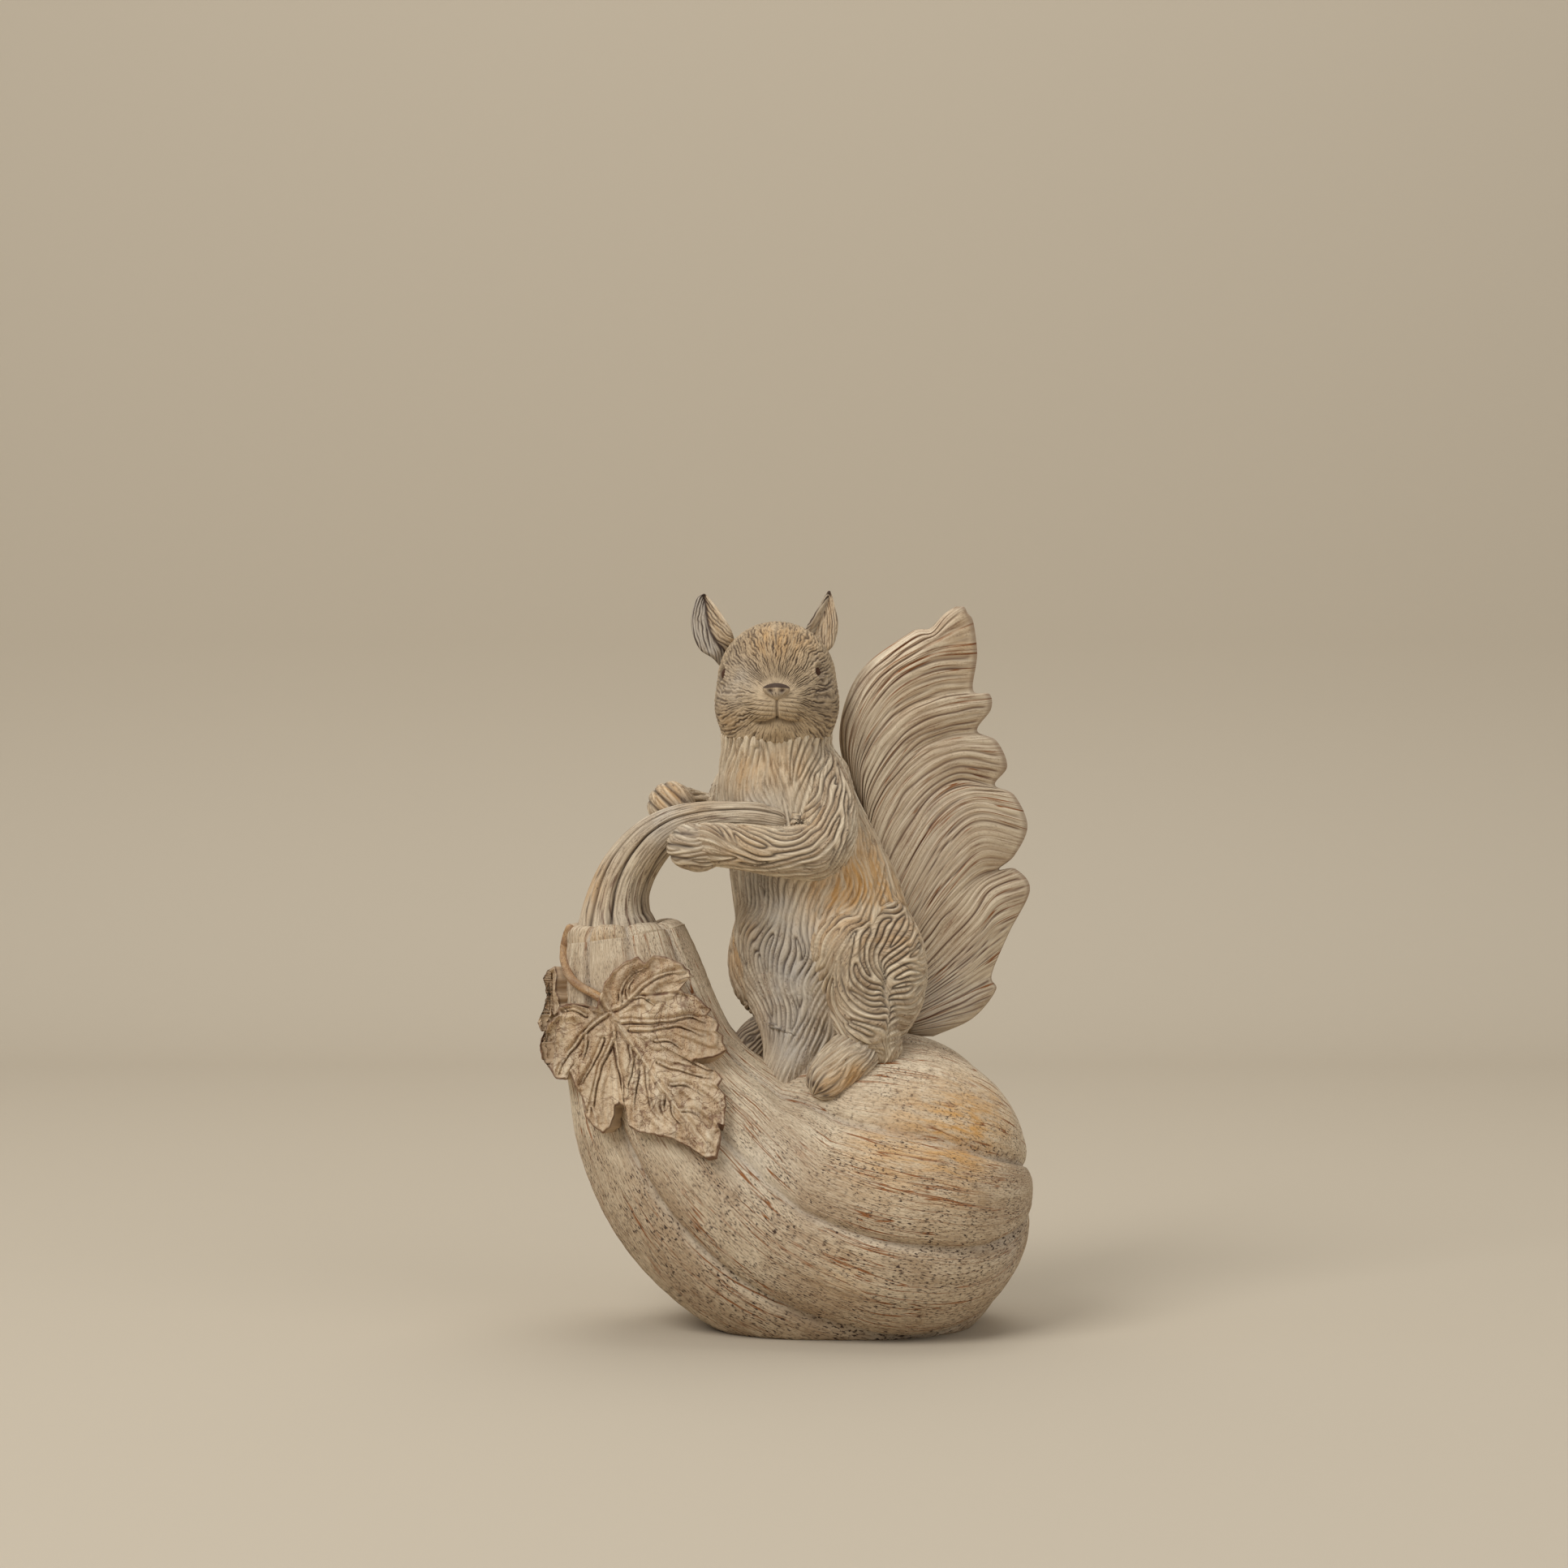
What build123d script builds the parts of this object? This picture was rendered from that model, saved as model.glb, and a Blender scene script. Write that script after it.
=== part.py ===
from build123d import *
from math import asin, cos, pi, radians, sin
import os

# Squirrel on a crook-necked gourd, cast in stone-filled resin as separate pieces that are pegged and glued.
# Millimetres. +Z up, +X towards the gourd's blossom end, -Y towards the viewer.
# The origin is the centre of the flat foot that the gourd stands on.

# Gourd
bulb_radius = 55.0
gourd_reach = 142.0
foot_middle_share = 0.46
neck_height = 137.0
belly_axis_share = 0.7273
neck_drop = neck_height - bulb_radius * belly_axis_share
wall = 6.0
lobe_depth = 3.4
# The centreline's lowest height is belly_axis_share of bulb_radius, so the foot stays flat at any size.
# Along the centreline, from the neck's top to the blossom end: X back from the blossom end as a share
# of gourd_reach, height under the neck's top as a share of neck_drop, and radius as a share of bulb_radius.
gourd_shares = [
    (0.995, 0.000, 0.380),
    (0.973, 0.185, 0.472),
    (0.947, 0.367, 0.532),
    (0.913, 0.529, 0.592),
    (0.861, 0.684, 0.687),
    (0.775, 0.842, 0.780),
    (0.670, 0.953, 0.850),
    (0.560, 0.998, 0.905),
    (0.424, 0.979, 0.972),
    (0.294, 0.934, 1.010),
    (0.209, 0.929, 0.955),
    (0.130, 0.928, 0.828),
    (0.053, 0.928, 0.600),
    (0.010, 0.928, 0.340),
    (0.000, 0.928, 0.150),
]
saddle = 7
cavity_start = 2
cavity_end = 12
# Where the grooves between the lobes stand round the centreline, in degrees from +Y, at some of its sections
groove_degrees = [
    (0, -8, 37, 83, 130, 174, 217, 262, 307),
    (5, -4, 40, 86, 138, 184, 223, 268, 313),
    (6, 0, 48, 100, 152, 190, 224, 270, 316),
    (8, 2, 52, 106, 157, 190, 227, 272, 318),
    (11, 8, 58, 114, 166, 196, 232, 276, 322),
]

# Foot plug, flush with the foot in its stepped seat
plug_flange_radius = 15.0
plug_flange = 2.6
plug_radius = 11.0
plug_length = 8.6

# Crown of shoulders at the neck's top: height as a share of crown_height, radius as a share of the neck's, and
# how much deeper than the gourd's its lobes are, as a share of its own radius
crown_height = 5.5
crown_shares = [(0.00, 1.00, 0.000), (0.40, 1.02, 0.060), (0.80, 0.90, 0.120), (1.00, 0.66, 0.160)]
crown_peg_radius = 10.0
crown_peg_length = 12.0

# Stem: along it, shares of the way from its root to the chest in X, Y and Z, and of its root radius
stem_root_radius = 12.5
stem_root_lift = 2.6
stem_flute = 1.0
stem_flute_count = 6
stem_peg_radius = 5.5
stem_peg_length = 9.0
stem_end_share = (-0.090, -0.147, 0.574)
stem_shares = [
    (0.000, 0.000, 0.000, 1.00),
    (0.005, 0.040, 0.240, 0.85),
    (0.060, 0.125, 0.454, 0.74),
    (0.156, 0.250, 0.657, 0.66),
    (0.263, 0.375, 0.815, 0.57),
    (0.390, 0.540, 0.945, 0.48),
    (0.537, 0.710, 1.010, 0.42),
    (0.744, 0.875, 1.026, 0.385),
    (1.000, 1.000, 1.000, 0.37),
]

# Squirrel, measured from the seat on the gourd's saddle; its places are shares of squirrel_height
squirrel_height = 163.0
seat_sink = 6.2
seat_forward_share = 0.03
torso_radius = 28.0
tuft_count = 7
tuft_depth = 2.2
# Torso sections: centre, then half widths in X and Y as shares of torso_radius
torso_shares = [
    (-0.032, -0.030, -0.060, 0.36, 0.36),
    (-0.030, -0.030, 0.025, 0.46, 0.46),
    (0.006, -0.018, 0.084, 0.66, 0.63),
    (0.032, 0.000, 0.188, 0.95, 0.88),
    (0.026, 0.000, 0.310, 1.06, 0.98),
    (0.006, -0.006, 0.432, 1.04, 0.97),
    (-0.021, -0.012, 0.520, 0.95, 0.91),
    (-0.052, -0.018, 0.607, 0.87, 0.84),
    (-0.068, -0.031, 0.676, 0.77, 0.75),
    (-0.078, -0.043, 0.732, 0.66, 0.66),
    (-0.078, -0.049, 0.800, 0.54, 0.54),
]

# Head: skull, cheeks, muzzle and chin, as shares of head_radius from the skull's middle, with half lengths
head_radius = 20.5
head_share = (-0.078, -0.049, 0.871)
head_shares = [
    (0.00, 0.00, 0.00, 1.00, 1.00, 1.00),
    (-0.37, -0.20, -0.44, 0.68, 0.74, 0.64),
    (0.37, -0.20, -0.44, 0.68, 0.74, 0.64),
    (0.00, -0.74, -0.42, 0.58, 0.58, 0.45),
    (0.00, -0.48, -0.76, 0.52, 0.52, 0.36),
]
eye_radius = 3.4
eye_shares = [(0.66, -0.66, 0.11), (-0.87, -0.42, 0.08)]
eye_flat_share = 0.75
nose_radius = 3.0
nose_share = (0.0, -1.28, -0.28)

# Ears, left then right: root as shares of head_radius from the skull's middle, lean to +X and to -Y
ear_length = 24.0
ear_width = 13.0
ear_thickness = 6.6
ear_cup = 2.6
ear_root_shares = [(0.60, 0.04, 0.62), (-0.78, 0.10, 0.46)]
ear_lean_degrees = [(13.0, -4.0), (-21.0, -4.0)]

# Hind legs
haunch_radius = 17.0
haunch_shares = [(0.143, -0.070, 0.244, 0.97, 1.00, 1.52), (-0.104, 0.046, 0.268, 0.76, 0.86, 1.15)]
knee_share = (0.055, -0.155, 0.352)
hock_share = (0.140, -0.147, 0.120)
knee_radius = 10.0
hock_radius = 8.5
foot_left_shares = [(0.142, -0.140, 0.088), (-0.001, -0.184, 0.030)]
foot_right_shares = [(-0.070, 0.025, 0.075), (-0.156, -0.030, 0.100)]
heel_radius = 7.6
toe_root_radius = 6.2
toe_count = 4
toe_radius = 2.5
toe_length = 7.0

# Arms
shoulder_shares = [(0.001, -0.085, 0.640), (-0.166, 0.055, 0.640)]
elbow_shares = [(0.009, -0.160, 0.506), (-0.160, 0.095, 0.545)]
shoulder_radius = 10.0
elbow_radius = 9.2
wrist_radius = 7.0
wrist_back = 9.0

# Paws: the level on the stem that each holds, and the way out from the stem's centreline
paw_radius = 8.0
paw_levels = [6.1, 4.4]
paw_ways = [(0.0, -0.72, -0.66), (0.0, 0.72, 0.68)]
finger_count = 4
finger_radius = 2.6

# Tail: centre as for the torso, half width as a share of tail_half_width, half thickness of tail_thickness
tail_half_width = 27.0
tail_thickness = 12.0
tail_turn = 25.0
tail_shares = [
    (0.150, 0.075, 0.070, 0.22, 0.48),
    (0.262, 0.132, 0.105, 0.40, 0.68),
    (0.272, 0.139, 0.160, 0.57, 0.94),
    (0.265, 0.136, 0.231, 0.66, 0.98),
    (0.266, 0.136, 0.320, 0.78, 1.00),
    (0.265, 0.136, 0.409, 0.88, 1.00),
    (0.257, 0.132, 0.499, 0.94, 1.00),
    (0.243, 0.125, 0.588, 0.98, 1.00),
    (0.216, 0.113, 0.677, 0.98, 0.99),
    (0.200, 0.105, 0.766, 0.95, 0.96),
    (0.203, 0.107, 0.856, 0.84, 0.86),
    (0.234, 0.121, 0.940, 0.59, 0.61),
    (0.285, 0.145, 0.992, 0.35, 0.35),
]
# Locks that fan out of the tail from its middle to its free edge, with a valley between each two: centre, half
# length and half breadth as shares of tail_half_width, and tilt in degrees from level
lock_shares = [
    (0.306, 0.152, 0.975, 0.46, 0.22, 62.0),
    (0.263, 0.135, 0.912, 0.70, 0.38, 30.0),
    (0.288, 0.147, 0.812, 0.70, 0.27, 11.0),
    (0.318, 0.161, 0.701, 0.72, 0.28, 4.0),
    (0.360, 0.180, 0.557, 0.76, 0.44, 5.0),
    (0.378, 0.188, 0.362, 0.72, 0.40, 42.0),
    (0.331, 0.167, 0.180, 0.52, 0.28, 25.0),
]
lock_thickness = 7.6

# Leaf, wrapped on the neck's near face: its outline in X and Z as shares of leaf_size from the stalk's root
leaf_size = 64.0
leaf_thickness = 4.5
leaf_level = 1.20
leaf_turn = 247.0
leaf_shares = [
    (0.06, 0.14),
    (0.20, 0.23),
    (0.41, 0.21),
    (0.49, 0.12),
    (0.42, 0.06),
    (0.26, 0.03),
    (0.49, 0.02),
    (0.58, -0.05),
    (0.68, -0.27),
    (0.54, -0.31),
    (0.52, -0.36),
    (0.63, -0.39),
    (0.67, -0.55),
    (0.67, -0.64),
    (0.63, -0.81),
    (0.48, -0.69),
    (0.33, -0.71),
    (0.16, -0.66),
    (0.10, -0.55),
    (0.02, -0.70),
    (-0.06, -0.65),
    (-0.18, -0.42),
    (-0.25, -0.46),
    (-0.35, -0.28),
    (-0.33, -0.18),
    (-0.24, -0.08),
    (-0.31, 0.02),
    (-0.30, 0.12),
    (-0.18, 0.15),
    (-0.06, 0.05),
]
leaf_reach_share = 0.10
side_lobe_size = (4.6, 10.0, 16.0)
side_lobe_level = 1.72
side_lobe_turn = 196.0
stalk_radius = 2.0
stalk_turns = [(0.02, 186.0), (0.45, 192.0), (0.80, 214.0), (1.02, 232.0), (1.20, 247.0)]

# Fits
glue_gap = 0.15
overrun = 80.0


def save(shape, name):
    """Writes one piece under its node name."""
    os.makedirs("parts", exist_ok=True)
    export_step(shape, f"parts/{name}.step")
    print(name, round(shape.volume), shape.is_valid, len(shape.solids()))


def cut_by(piece, *others):
    """The piece with what the others fill taken out of it: its largest solid."""
    for other in others:
        piece = piece - other
    return max(piece.solids(), key=lambda s: s.volume)


def ellipsoid(centre, size, turn=(0, 0, 0)):
    """A ball stretched to three half lengths, turned about X, Y and Z, and set at a centre."""
    ball = scale(Sphere(1), by=size)
    return Pos(*centre) * Rot(*turn) * ball


def round_cone(a, b, radius_a, radius_b):
    """A limb: two balls and the cone that is tangent to both, turned from one outline."""
    length = (b - a).length
    lean = asin((radius_a - radius_b) / length)
    low = (lean - pi / 2) / 2
    high = (lean + pi / 2) / 2
    start = ThreePointArc(
        (0, 0, -radius_a),
        (radius_a * cos(low), 0, radius_a * sin(low)),
        (radius_a * cos(lean), 0, radius_a * sin(lean)),
    )
    end = ThreePointArc(
        (radius_b * cos(lean), 0, length + radius_b * sin(lean)),
        (radius_b * cos(high), 0, length + radius_b * sin(high)),
        (0, 0, length + radius_b),
    )
    side = Line(start @ 1, end @ 0)
    axis = Line(end @ 1, start @ 0)
    limb = revolve(make_face([start, side, end, axis]), Axis.Z, 360)
    return Plane(origin=a, z_dir=b - a) * limb


def rod(start, direction, radius, length):
    """A straight peg that starts at a point and runs along a direction."""
    plane = Plane(origin=start, z_dir=direction)
    return plane * Cylinder(radius, length, align=(Align.CENTER, Align.CENTER, Align.MIN))


def even_grooves(count):
    """The turns, in degrees, of grooves at equal distances round a section."""
    return [360 * (k - 0.5) / count for k in range(count)]


def lobed_face(centre, normal, radius, depth, grooves, stretch=1):
    """A scalloped section: one arc for each lobe, from groove to groove over its crest."""
    plane = Plane(origin=centre, x_dir=(0, 1, 0), z_dir=normal)
    arcs = []
    for start, end in zip(grooves, grooves[1:] + [grooves[0] + 360]):
        points = []
        for turn, reach in ((start, radius - depth), ((start + end) / 2, radius), (end, radius - depth)):
            angle = radians(turn)
            points.append(plane.from_local_coords((reach * cos(angle), stretch * reach * sin(angle), 0)))
        arcs.append(ThreePointArc(*points))
    return make_face(arcs)


def ellipse_face(centre, normal, across, half_width, half_depth):
    """An elliptical section with its width laid along a direction."""
    return Plane(origin=centre, x_dir=across, z_dir=normal) * Ellipse(half_width, half_depth)


def tangents(points):
    """The direction at each point, along the chord between its neighbours."""
    last = len(points) - 1
    return [points[min(i + 1, last)] - points[max(i - 1, 0)] for i in range(last + 1)]


def between(values, level):
    """A value part way between two entries of a list."""
    low = min(int(level), len(values) - 2)
    part = level - low
    return values[low] * (1 - part) + values[low + 1] * part


# Gourd centreline, radii and directions
blossom_x = gourd_reach * foot_middle_share
gourd_points = [
    Vector(blossom_x - gourd_reach * x, 0, neck_height - neck_drop * z) for x, z, r in gourd_shares
]
gourd_radii = [bulb_radius * r for x, z, r in gourd_shares]
gourd_ways = tangents(gourd_points)
gourd_ways[-1] = Vector(1, 0, 0)


def grooves_at(section):
    """The turns, in degrees, of the gourd's grooves at a section, between the rows of groove_degrees."""
    ahead = [i for i, row in enumerate(groove_degrees) if row[0] >= section]
    if not ahead:
        return list(groove_degrees[-1][1:])
    high = groove_degrees[ahead[0]]
    low = groove_degrees[max(ahead[0] - 1, 0)]
    part = (section - low[0]) / max(high[0] - low[0], 1)
    return [a * (1 - part) + b * part for a, b in zip(low[1:], high[1:])]


def gourd_solid(lift, depth, first, last):
    """The gourd's form between two sections, with its skin moved out by lift and grooves of a depth."""
    sections = []
    for i in range(first, last + 1):
        groove = depth * gourd_radii[i] / bulb_radius
        face = lobed_face(gourd_points[i], gourd_ways[i], gourd_radii[i] + lift, groove, grooves_at(i))
        sections.append(face)
    return loft(sections)


def neck_point(level, angle, lift):
    """A point over the neck's skin: angle 180 is its outer edge, 270 its near face."""
    centre = between(gourd_points, level)
    way = between(gourd_ways, level).normalized()
    radius = between(gourd_radii, level) + lift
    across = Vector(-way.Z, 0, way.X)
    return centre + across * (radius * cos(radians(angle))) + Vector(0, radius * sin(radians(angle)), 0)


last_section = len(gourd_points) - 1
gourd_form = gourd_solid(0, lobe_depth, 0, last_section)
ground = Pos(0, 0, -overrun) * Box(4 * overrun, 4 * overrun, 2 * overrun)
gourd_form = cut_by(gourd_form, ground)

# Seat of the squirrel on the gourd's saddle
saddle_point = gourd_points[saddle]
seat = Vector(
    saddle_point.X + gourd_reach * seat_forward_share, 0, saddle_point.Z + gourd_radii[saddle] - seat_sink
)


def spot(share):
    """A place on the squirrel, from its seat."""
    return seat + Vector(share[0], share[1], share[2]) * squirrel_height


# Crown
neck_way = gourd_ways[0].normalized() * -1
neck_top = gourd_points[0]
crown_sections = []
for rise, spread, deeper in crown_shares:
    crown_sections.append(
        lobed_face(
            neck_top + neck_way * (crown_height * rise),
            gourd_ways[0],
            gourd_radii[0] * spread,
            gourd_radii[0] * spread * (lobe_depth / bulb_radius + deeper),
            grooves_at(0),
        )
    )
crown_form = loft(crown_sections)
crown_peg = rod(neck_top, neck_way * -1, crown_peg_radius, crown_peg_length)
crown_socket = rod(neck_top, neck_way * -1, crown_peg_radius + glue_gap, crown_peg_length + glue_gap)

# Stem
stem_start = neck_top + neck_way * stem_root_lift
stem_end = spot(stem_end_share)
stem_span = stem_end - stem_start
stem_points = [
    stem_start + Vector(stem_span.X * x, stem_span.Y * y, stem_span.Z * z) for x, y, z, r in stem_shares
]
stem_radii = [stem_root_radius * r for x, y, z, r in stem_shares]
stem_ways = tangents(stem_points)
stem_ways[0] = neck_way
stem_form = loft(
    [
        lobed_face(p, w, r, stem_flute * r / stem_root_radius, even_grooves(stem_flute_count))
        for p, w, r in zip(stem_points, stem_ways, stem_radii)
    ]
)
stem_peg = rod(stem_start, neck_way * -1, stem_peg_radius, stem_peg_length)
stem_socket = rod(stem_start, neck_way * -1, stem_peg_radius + glue_gap, stem_peg_length + glue_gap)

# Leaf and its stalk
leaf_root = neck_point(leaf_level, leaf_turn, 0)
outline = [
    (leaf_root.X + leaf_size * x, leaf_root.Z + leaf_size * z) for x, z in leaf_shares
]
outline_face = Plane.XZ * make_face(Polyline(*outline, close=True))
blank = extrude(outline_face, overrun) + extrude(outline_face, -leaf_size * leaf_reach_share)
leaf_band = gourd_solid(leaf_thickness, lobe_depth, 0, saddle)
side_lobe = ellipsoid(neck_point(side_lobe_level, side_lobe_turn, 0), side_lobe_size, (0, 12, 0))
leaf = cut_by((blank & leaf_band).fuse(side_lobe), gourd_form)
stalk_points = [neck_point(level, turn, stalk_radius * 0.5) for level, turn in stalk_turns]
runs = [
    round_cone(a, b, stalk_radius * 1.01, stalk_radius)
    for a, b in zip(stalk_points, stalk_points[1:])
]
leaf_stalk = cut_by(runs[0].fuse(*runs[1:]), gourd_form, crown_form, leaf)

# Torso
torso_faces = []
torso_points = [spot(s) for s in torso_shares]
for point, way, share in zip(torso_points, tangents(torso_points), torso_shares):
    depth = tuft_depth * share[4]
    section = lobed_face(
        point, way, torso_radius * share[4] + depth / 2, depth, even_grooves(tuft_count), share[3] / share[4]
    )
    torso_faces.append(section)
torso_form = loft(torso_faces)
torso = cut_by(torso_form, gourd_form)

# Head
head_centre = spot(head_share)


def head_spot(share):
    """A place on the head, from the middle of the skull."""
    return head_centre + Vector(share[0], share[1], share[2]) * head_radius


lumps = []
for share in head_shares:
    size = (head_radius * share[3], head_radius * share[4], head_radius * share[5])
    lumps.append(ellipsoid(head_spot(share), size))
head_form = lumps[0].fuse(*lumps[1:])
eyes = []
for share in eye_shares:
    out = Vector(share[0], share[1], share[2])
    plane = Plane(origin=head_spot(share), z_dir=out)
    bead = scale(Sphere(1), by=(eye_radius, eye_radius, eye_radius * eye_flat_share))
    eyes.append(plane * bead)
nose = ellipsoid(head_spot(nose_share), (nose_radius * 1.2, nose_radius, nose_radius))
head = cut_by(head_form, torso_form, eyes[0], eyes[1], nose)

# Ears
ears = []
for root, lean in zip(ear_root_shares, ear_lean_degrees):
    base = Plane.XY
    blades = []
    for rise, breadth in ((0, 0.62), (0.35, 1.0), (0.7, 0.72), (1.0, 0.12)):
        face = Ellipse(ear_width * breadth / 2, ear_thickness * (1 - 0.6 * rise) / 2)
        blades.append(Pos(0, 0, ear_length * rise) * face)
    blade = loft(blades)
    cup = ellipsoid(
        (0, -ear_thickness / 2, ear_length * 0.48),
        (ear_width * 0.30, ear_cup, ear_length * 0.34),
    )
    place = Pos(*head_spot(root)) * Rot(0, lean[0], 0) * Rot(lean[1], 0, 0)
    ears.append(cut_by(place * (blade - cup), head_form))

# Hind legs
haunches = []
for share in haunch_shares:
    size = (haunch_radius * share[3], haunch_radius * share[4], haunch_radius * share[5])
    haunches.append(ellipsoid(spot(share), size))
shin = round_cone(spot(knee_share), spot(hock_share), knee_radius, hock_radius)
thigh_left = cut_by(haunches[0].fuse(shin), torso_form, gourd_form)
thigh_right = cut_by(haunches[1], torso_form, gourd_form)


def foot(shares, *others):
    """A foot on the gourd: a tapered pad with a fan of toes, cut by what it lies against."""
    heel = spot(shares[0])
    front = spot(shares[1])
    pad = round_cone(heel, front, heel_radius, toe_root_radius)
    ahead = (front - heel).normalized()
    side = ahead.cross(Vector(0, 0, 1)).normalized()
    toes = []
    for k in range(toe_count):
        fan = (k - (toe_count - 1) / 2) / (toe_count - 1)
        start = front + side * (toe_root_radius * 1.3 * fan)
        tip = start + (ahead + side * (0.45 * fan) - Vector(0, 0, 0.25)) * toe_length
        toes.append(round_cone(start, tip, toe_radius * 1.1, toe_radius))
    return cut_by(pad.fuse(*toes), *others)


foot_left = foot(foot_left_shares, gourd_form, torso_form, thigh_left)
foot_right = foot(foot_right_shares, gourd_form, torso_form, thigh_right, leaf)

# Paws, then arms that run to them
paws = []
arms = []
for side in range(2):
    level = paw_levels[side]
    hold = between(stem_points, level)
    thick = between(stem_radii, level)
    along = between(stem_ways, level).normalized()
    out = Vector(*paw_ways[side])
    out = (out - along * out.dot(along)).normalized()
    palm = hold + out * (thick + paw_radius * 0.85)
    over = out.cross(along).normalized()
    if over.Z < 0:
        over = over * -1
    fingers = []
    for k in range(finger_count):
        shift = along * (finger_radius * 1.5 * (k - (finger_count - 1) / 2))
        knuckle = palm + shift + over * (paw_radius * 0.5)
        tip = hold + shift + over * (thick + finger_radius * 0.9) + out * (thick * 0.2)
        fingers.append(round_cone(knuckle, tip, finger_radius * 1.1, finger_radius))
    elbow = spot(elbow_shares[side])
    shoulder = spot(shoulder_shares[side])
    wrist = palm + (elbow - palm).normalized() * wrist_back
    upper = round_cone(shoulder, elbow, shoulder_radius, elbow_radius)
    fore = round_cone(elbow, wrist, elbow_radius * 0.97, wrist_radius)
    half_span = along * (paw_radius * 0.10)
    fist = round_cone(palm - half_span, palm + half_span, paw_radius, paw_radius * 0.97)
    paw = cut_by(fist.fuse(*fingers), torso_form, stem_form, *paws)
    paws.append(paw)
    arms.append(cut_by(upper.fuse(fore), torso_form, head_form, thigh_left, paw, stem_form))

# Tail
tail_points = [spot(s) for s in tail_shares]
tail_across = Vector(cos(radians(tail_turn)), sin(radians(tail_turn)), 0)
tail_faces = []
for point, way, share in zip(tail_points, tangents(tail_points), tail_shares):
    across = tail_across - way * (tail_across.dot(way) / way.dot(way))
    tail_faces.append(
        ellipse_face(point, way, across, tail_half_width * share[3], tail_thickness * share[4])
    )
plume = loft(tail_faces)
locks = []
for share in lock_shares:
    size = (tail_half_width * share[3], lock_thickness, tail_half_width * share[4])
    locks.append(ellipsoid(spot(share), size, (0, -share[5], tail_turn)))
tail_form = plume.fuse(*locks)
tail = cut_by(tail_form, gourd_form, torso_form, thigh_left, arms[0])

# Gourd shell: hollow, with a stepped seat for the plug in its foot and a socket in its neck
inner = []
for i in range(cavity_start, cavity_end + 1):
    reach = gourd_radii[i] * (1 - lobe_depth / bulb_radius) - wall
    inner.append(Plane(origin=gourd_points[i], z_dir=gourd_ways[i]) * Circle(reach))
cavity = loft(inner) - Pos(0, 0, wall) * ground
plug_seat = rod((0, 0, 0), (0, 0, 1), plug_flange_radius + glue_gap, plug_flange + glue_gap)
plug_hole = rod((0, 0, 0), (0, 0, 1), plug_radius + glue_gap, plug_length + wall)
gourd_shell = cut_by(gourd_form, cavity, plug_seat, plug_hole, crown_socket)
foot_plug = rod((0, 0, 0), (0, 0, 1), plug_flange_radius, plug_flange)
foot_plug = foot_plug.fuse(rod((0, 0, 0), (0, 0, 1), plug_radius, plug_length))
stem_crown = cut_by(crown_form.fuse(crown_peg), stem_form, stem_socket)
stem = cut_by(stem_form.fuse(stem_peg), torso_form)

save(gourd_shell, "gourd_shell")
save(foot_plug, "foot_plug")
save(stem_crown, "stem_crown")
save(stem, "stem")
save(leaf, "leaf")
save(leaf_stalk, "leaf_stalk")
save(torso, "torso")
save(head, "head")
save(ears[0], "ear_left")
save(ears[1], "ear_right")
save(cut_by(eyes[0]), "eye_left")
save(cut_by(eyes[1]), "eye_right")
save(cut_by(nose), "nose")
save(arms[0], "arm_left")
save(arms[1], "arm_right")
save(paws[0], "paw_left")
save(paws[1], "paw_right")
save(thigh_left, "thigh_left")
save(thigh_right, "thigh_right")
save(foot_left, "foot_left")
save(foot_right, "foot_right")
save(tail, "tail")
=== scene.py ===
import math
import time
import bpy
import numpy as np
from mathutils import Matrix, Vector


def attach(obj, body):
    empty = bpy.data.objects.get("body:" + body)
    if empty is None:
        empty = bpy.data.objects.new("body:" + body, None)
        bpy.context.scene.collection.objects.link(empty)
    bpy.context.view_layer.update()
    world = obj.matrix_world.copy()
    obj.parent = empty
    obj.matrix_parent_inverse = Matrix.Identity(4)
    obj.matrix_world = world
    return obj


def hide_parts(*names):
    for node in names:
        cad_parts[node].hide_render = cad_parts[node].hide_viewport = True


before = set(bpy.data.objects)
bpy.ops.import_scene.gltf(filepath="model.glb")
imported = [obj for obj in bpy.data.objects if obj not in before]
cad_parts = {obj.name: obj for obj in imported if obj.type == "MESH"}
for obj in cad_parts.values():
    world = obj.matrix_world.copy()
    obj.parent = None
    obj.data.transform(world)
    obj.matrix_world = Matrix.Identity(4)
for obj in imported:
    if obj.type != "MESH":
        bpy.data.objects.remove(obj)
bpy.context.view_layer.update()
startTime = time.time()
density = 1.0  # share of the full grid density
dotSize = 0.28  # millimetres that a dot of the picture covers at the figure


# prints a stage's name and the seconds so far
def report(stage):
    print("stage:", stage, "at", round(time.time() - startTime, 1), "s")


# a count of rows or columns times the density
def counted(full):
    return int(full * density)


cameraSizes = dict(place=(-20.2, -1076.0, 189.7), lens=70.43, sensor=36.0, picture=1932, clip=(0.05, 50.0))
cameraAt = np.array(cameraSizes["place"])
cameraDots = cameraSizes["lens"] / cameraSizes["sensor"] * cameraSizes["picture"]  # the lens's length in dots
pictureMiddle = cameraSizes["picture"] / 2
cameraData = bpy.data.cameras.new("photoCamera")
cameraData.lens, cameraData.sensor_width = cameraSizes["lens"], cameraSizes["sensor"]
cameraData.clip_start, cameraData.clip_end = cameraSizes["clip"]
camera = bpy.data.objects.new("photoCamera", cameraData)
camera.location = [v / 1000 for v in cameraSizes["place"]]
camera.rotation_euler = (math.radians(90), 0, 0)
bpy.context.collection.objects.link(camera)
bpy.context.scene.camera = camera
bpy.context.scene.view_settings.view_transform = "Standard"


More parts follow.
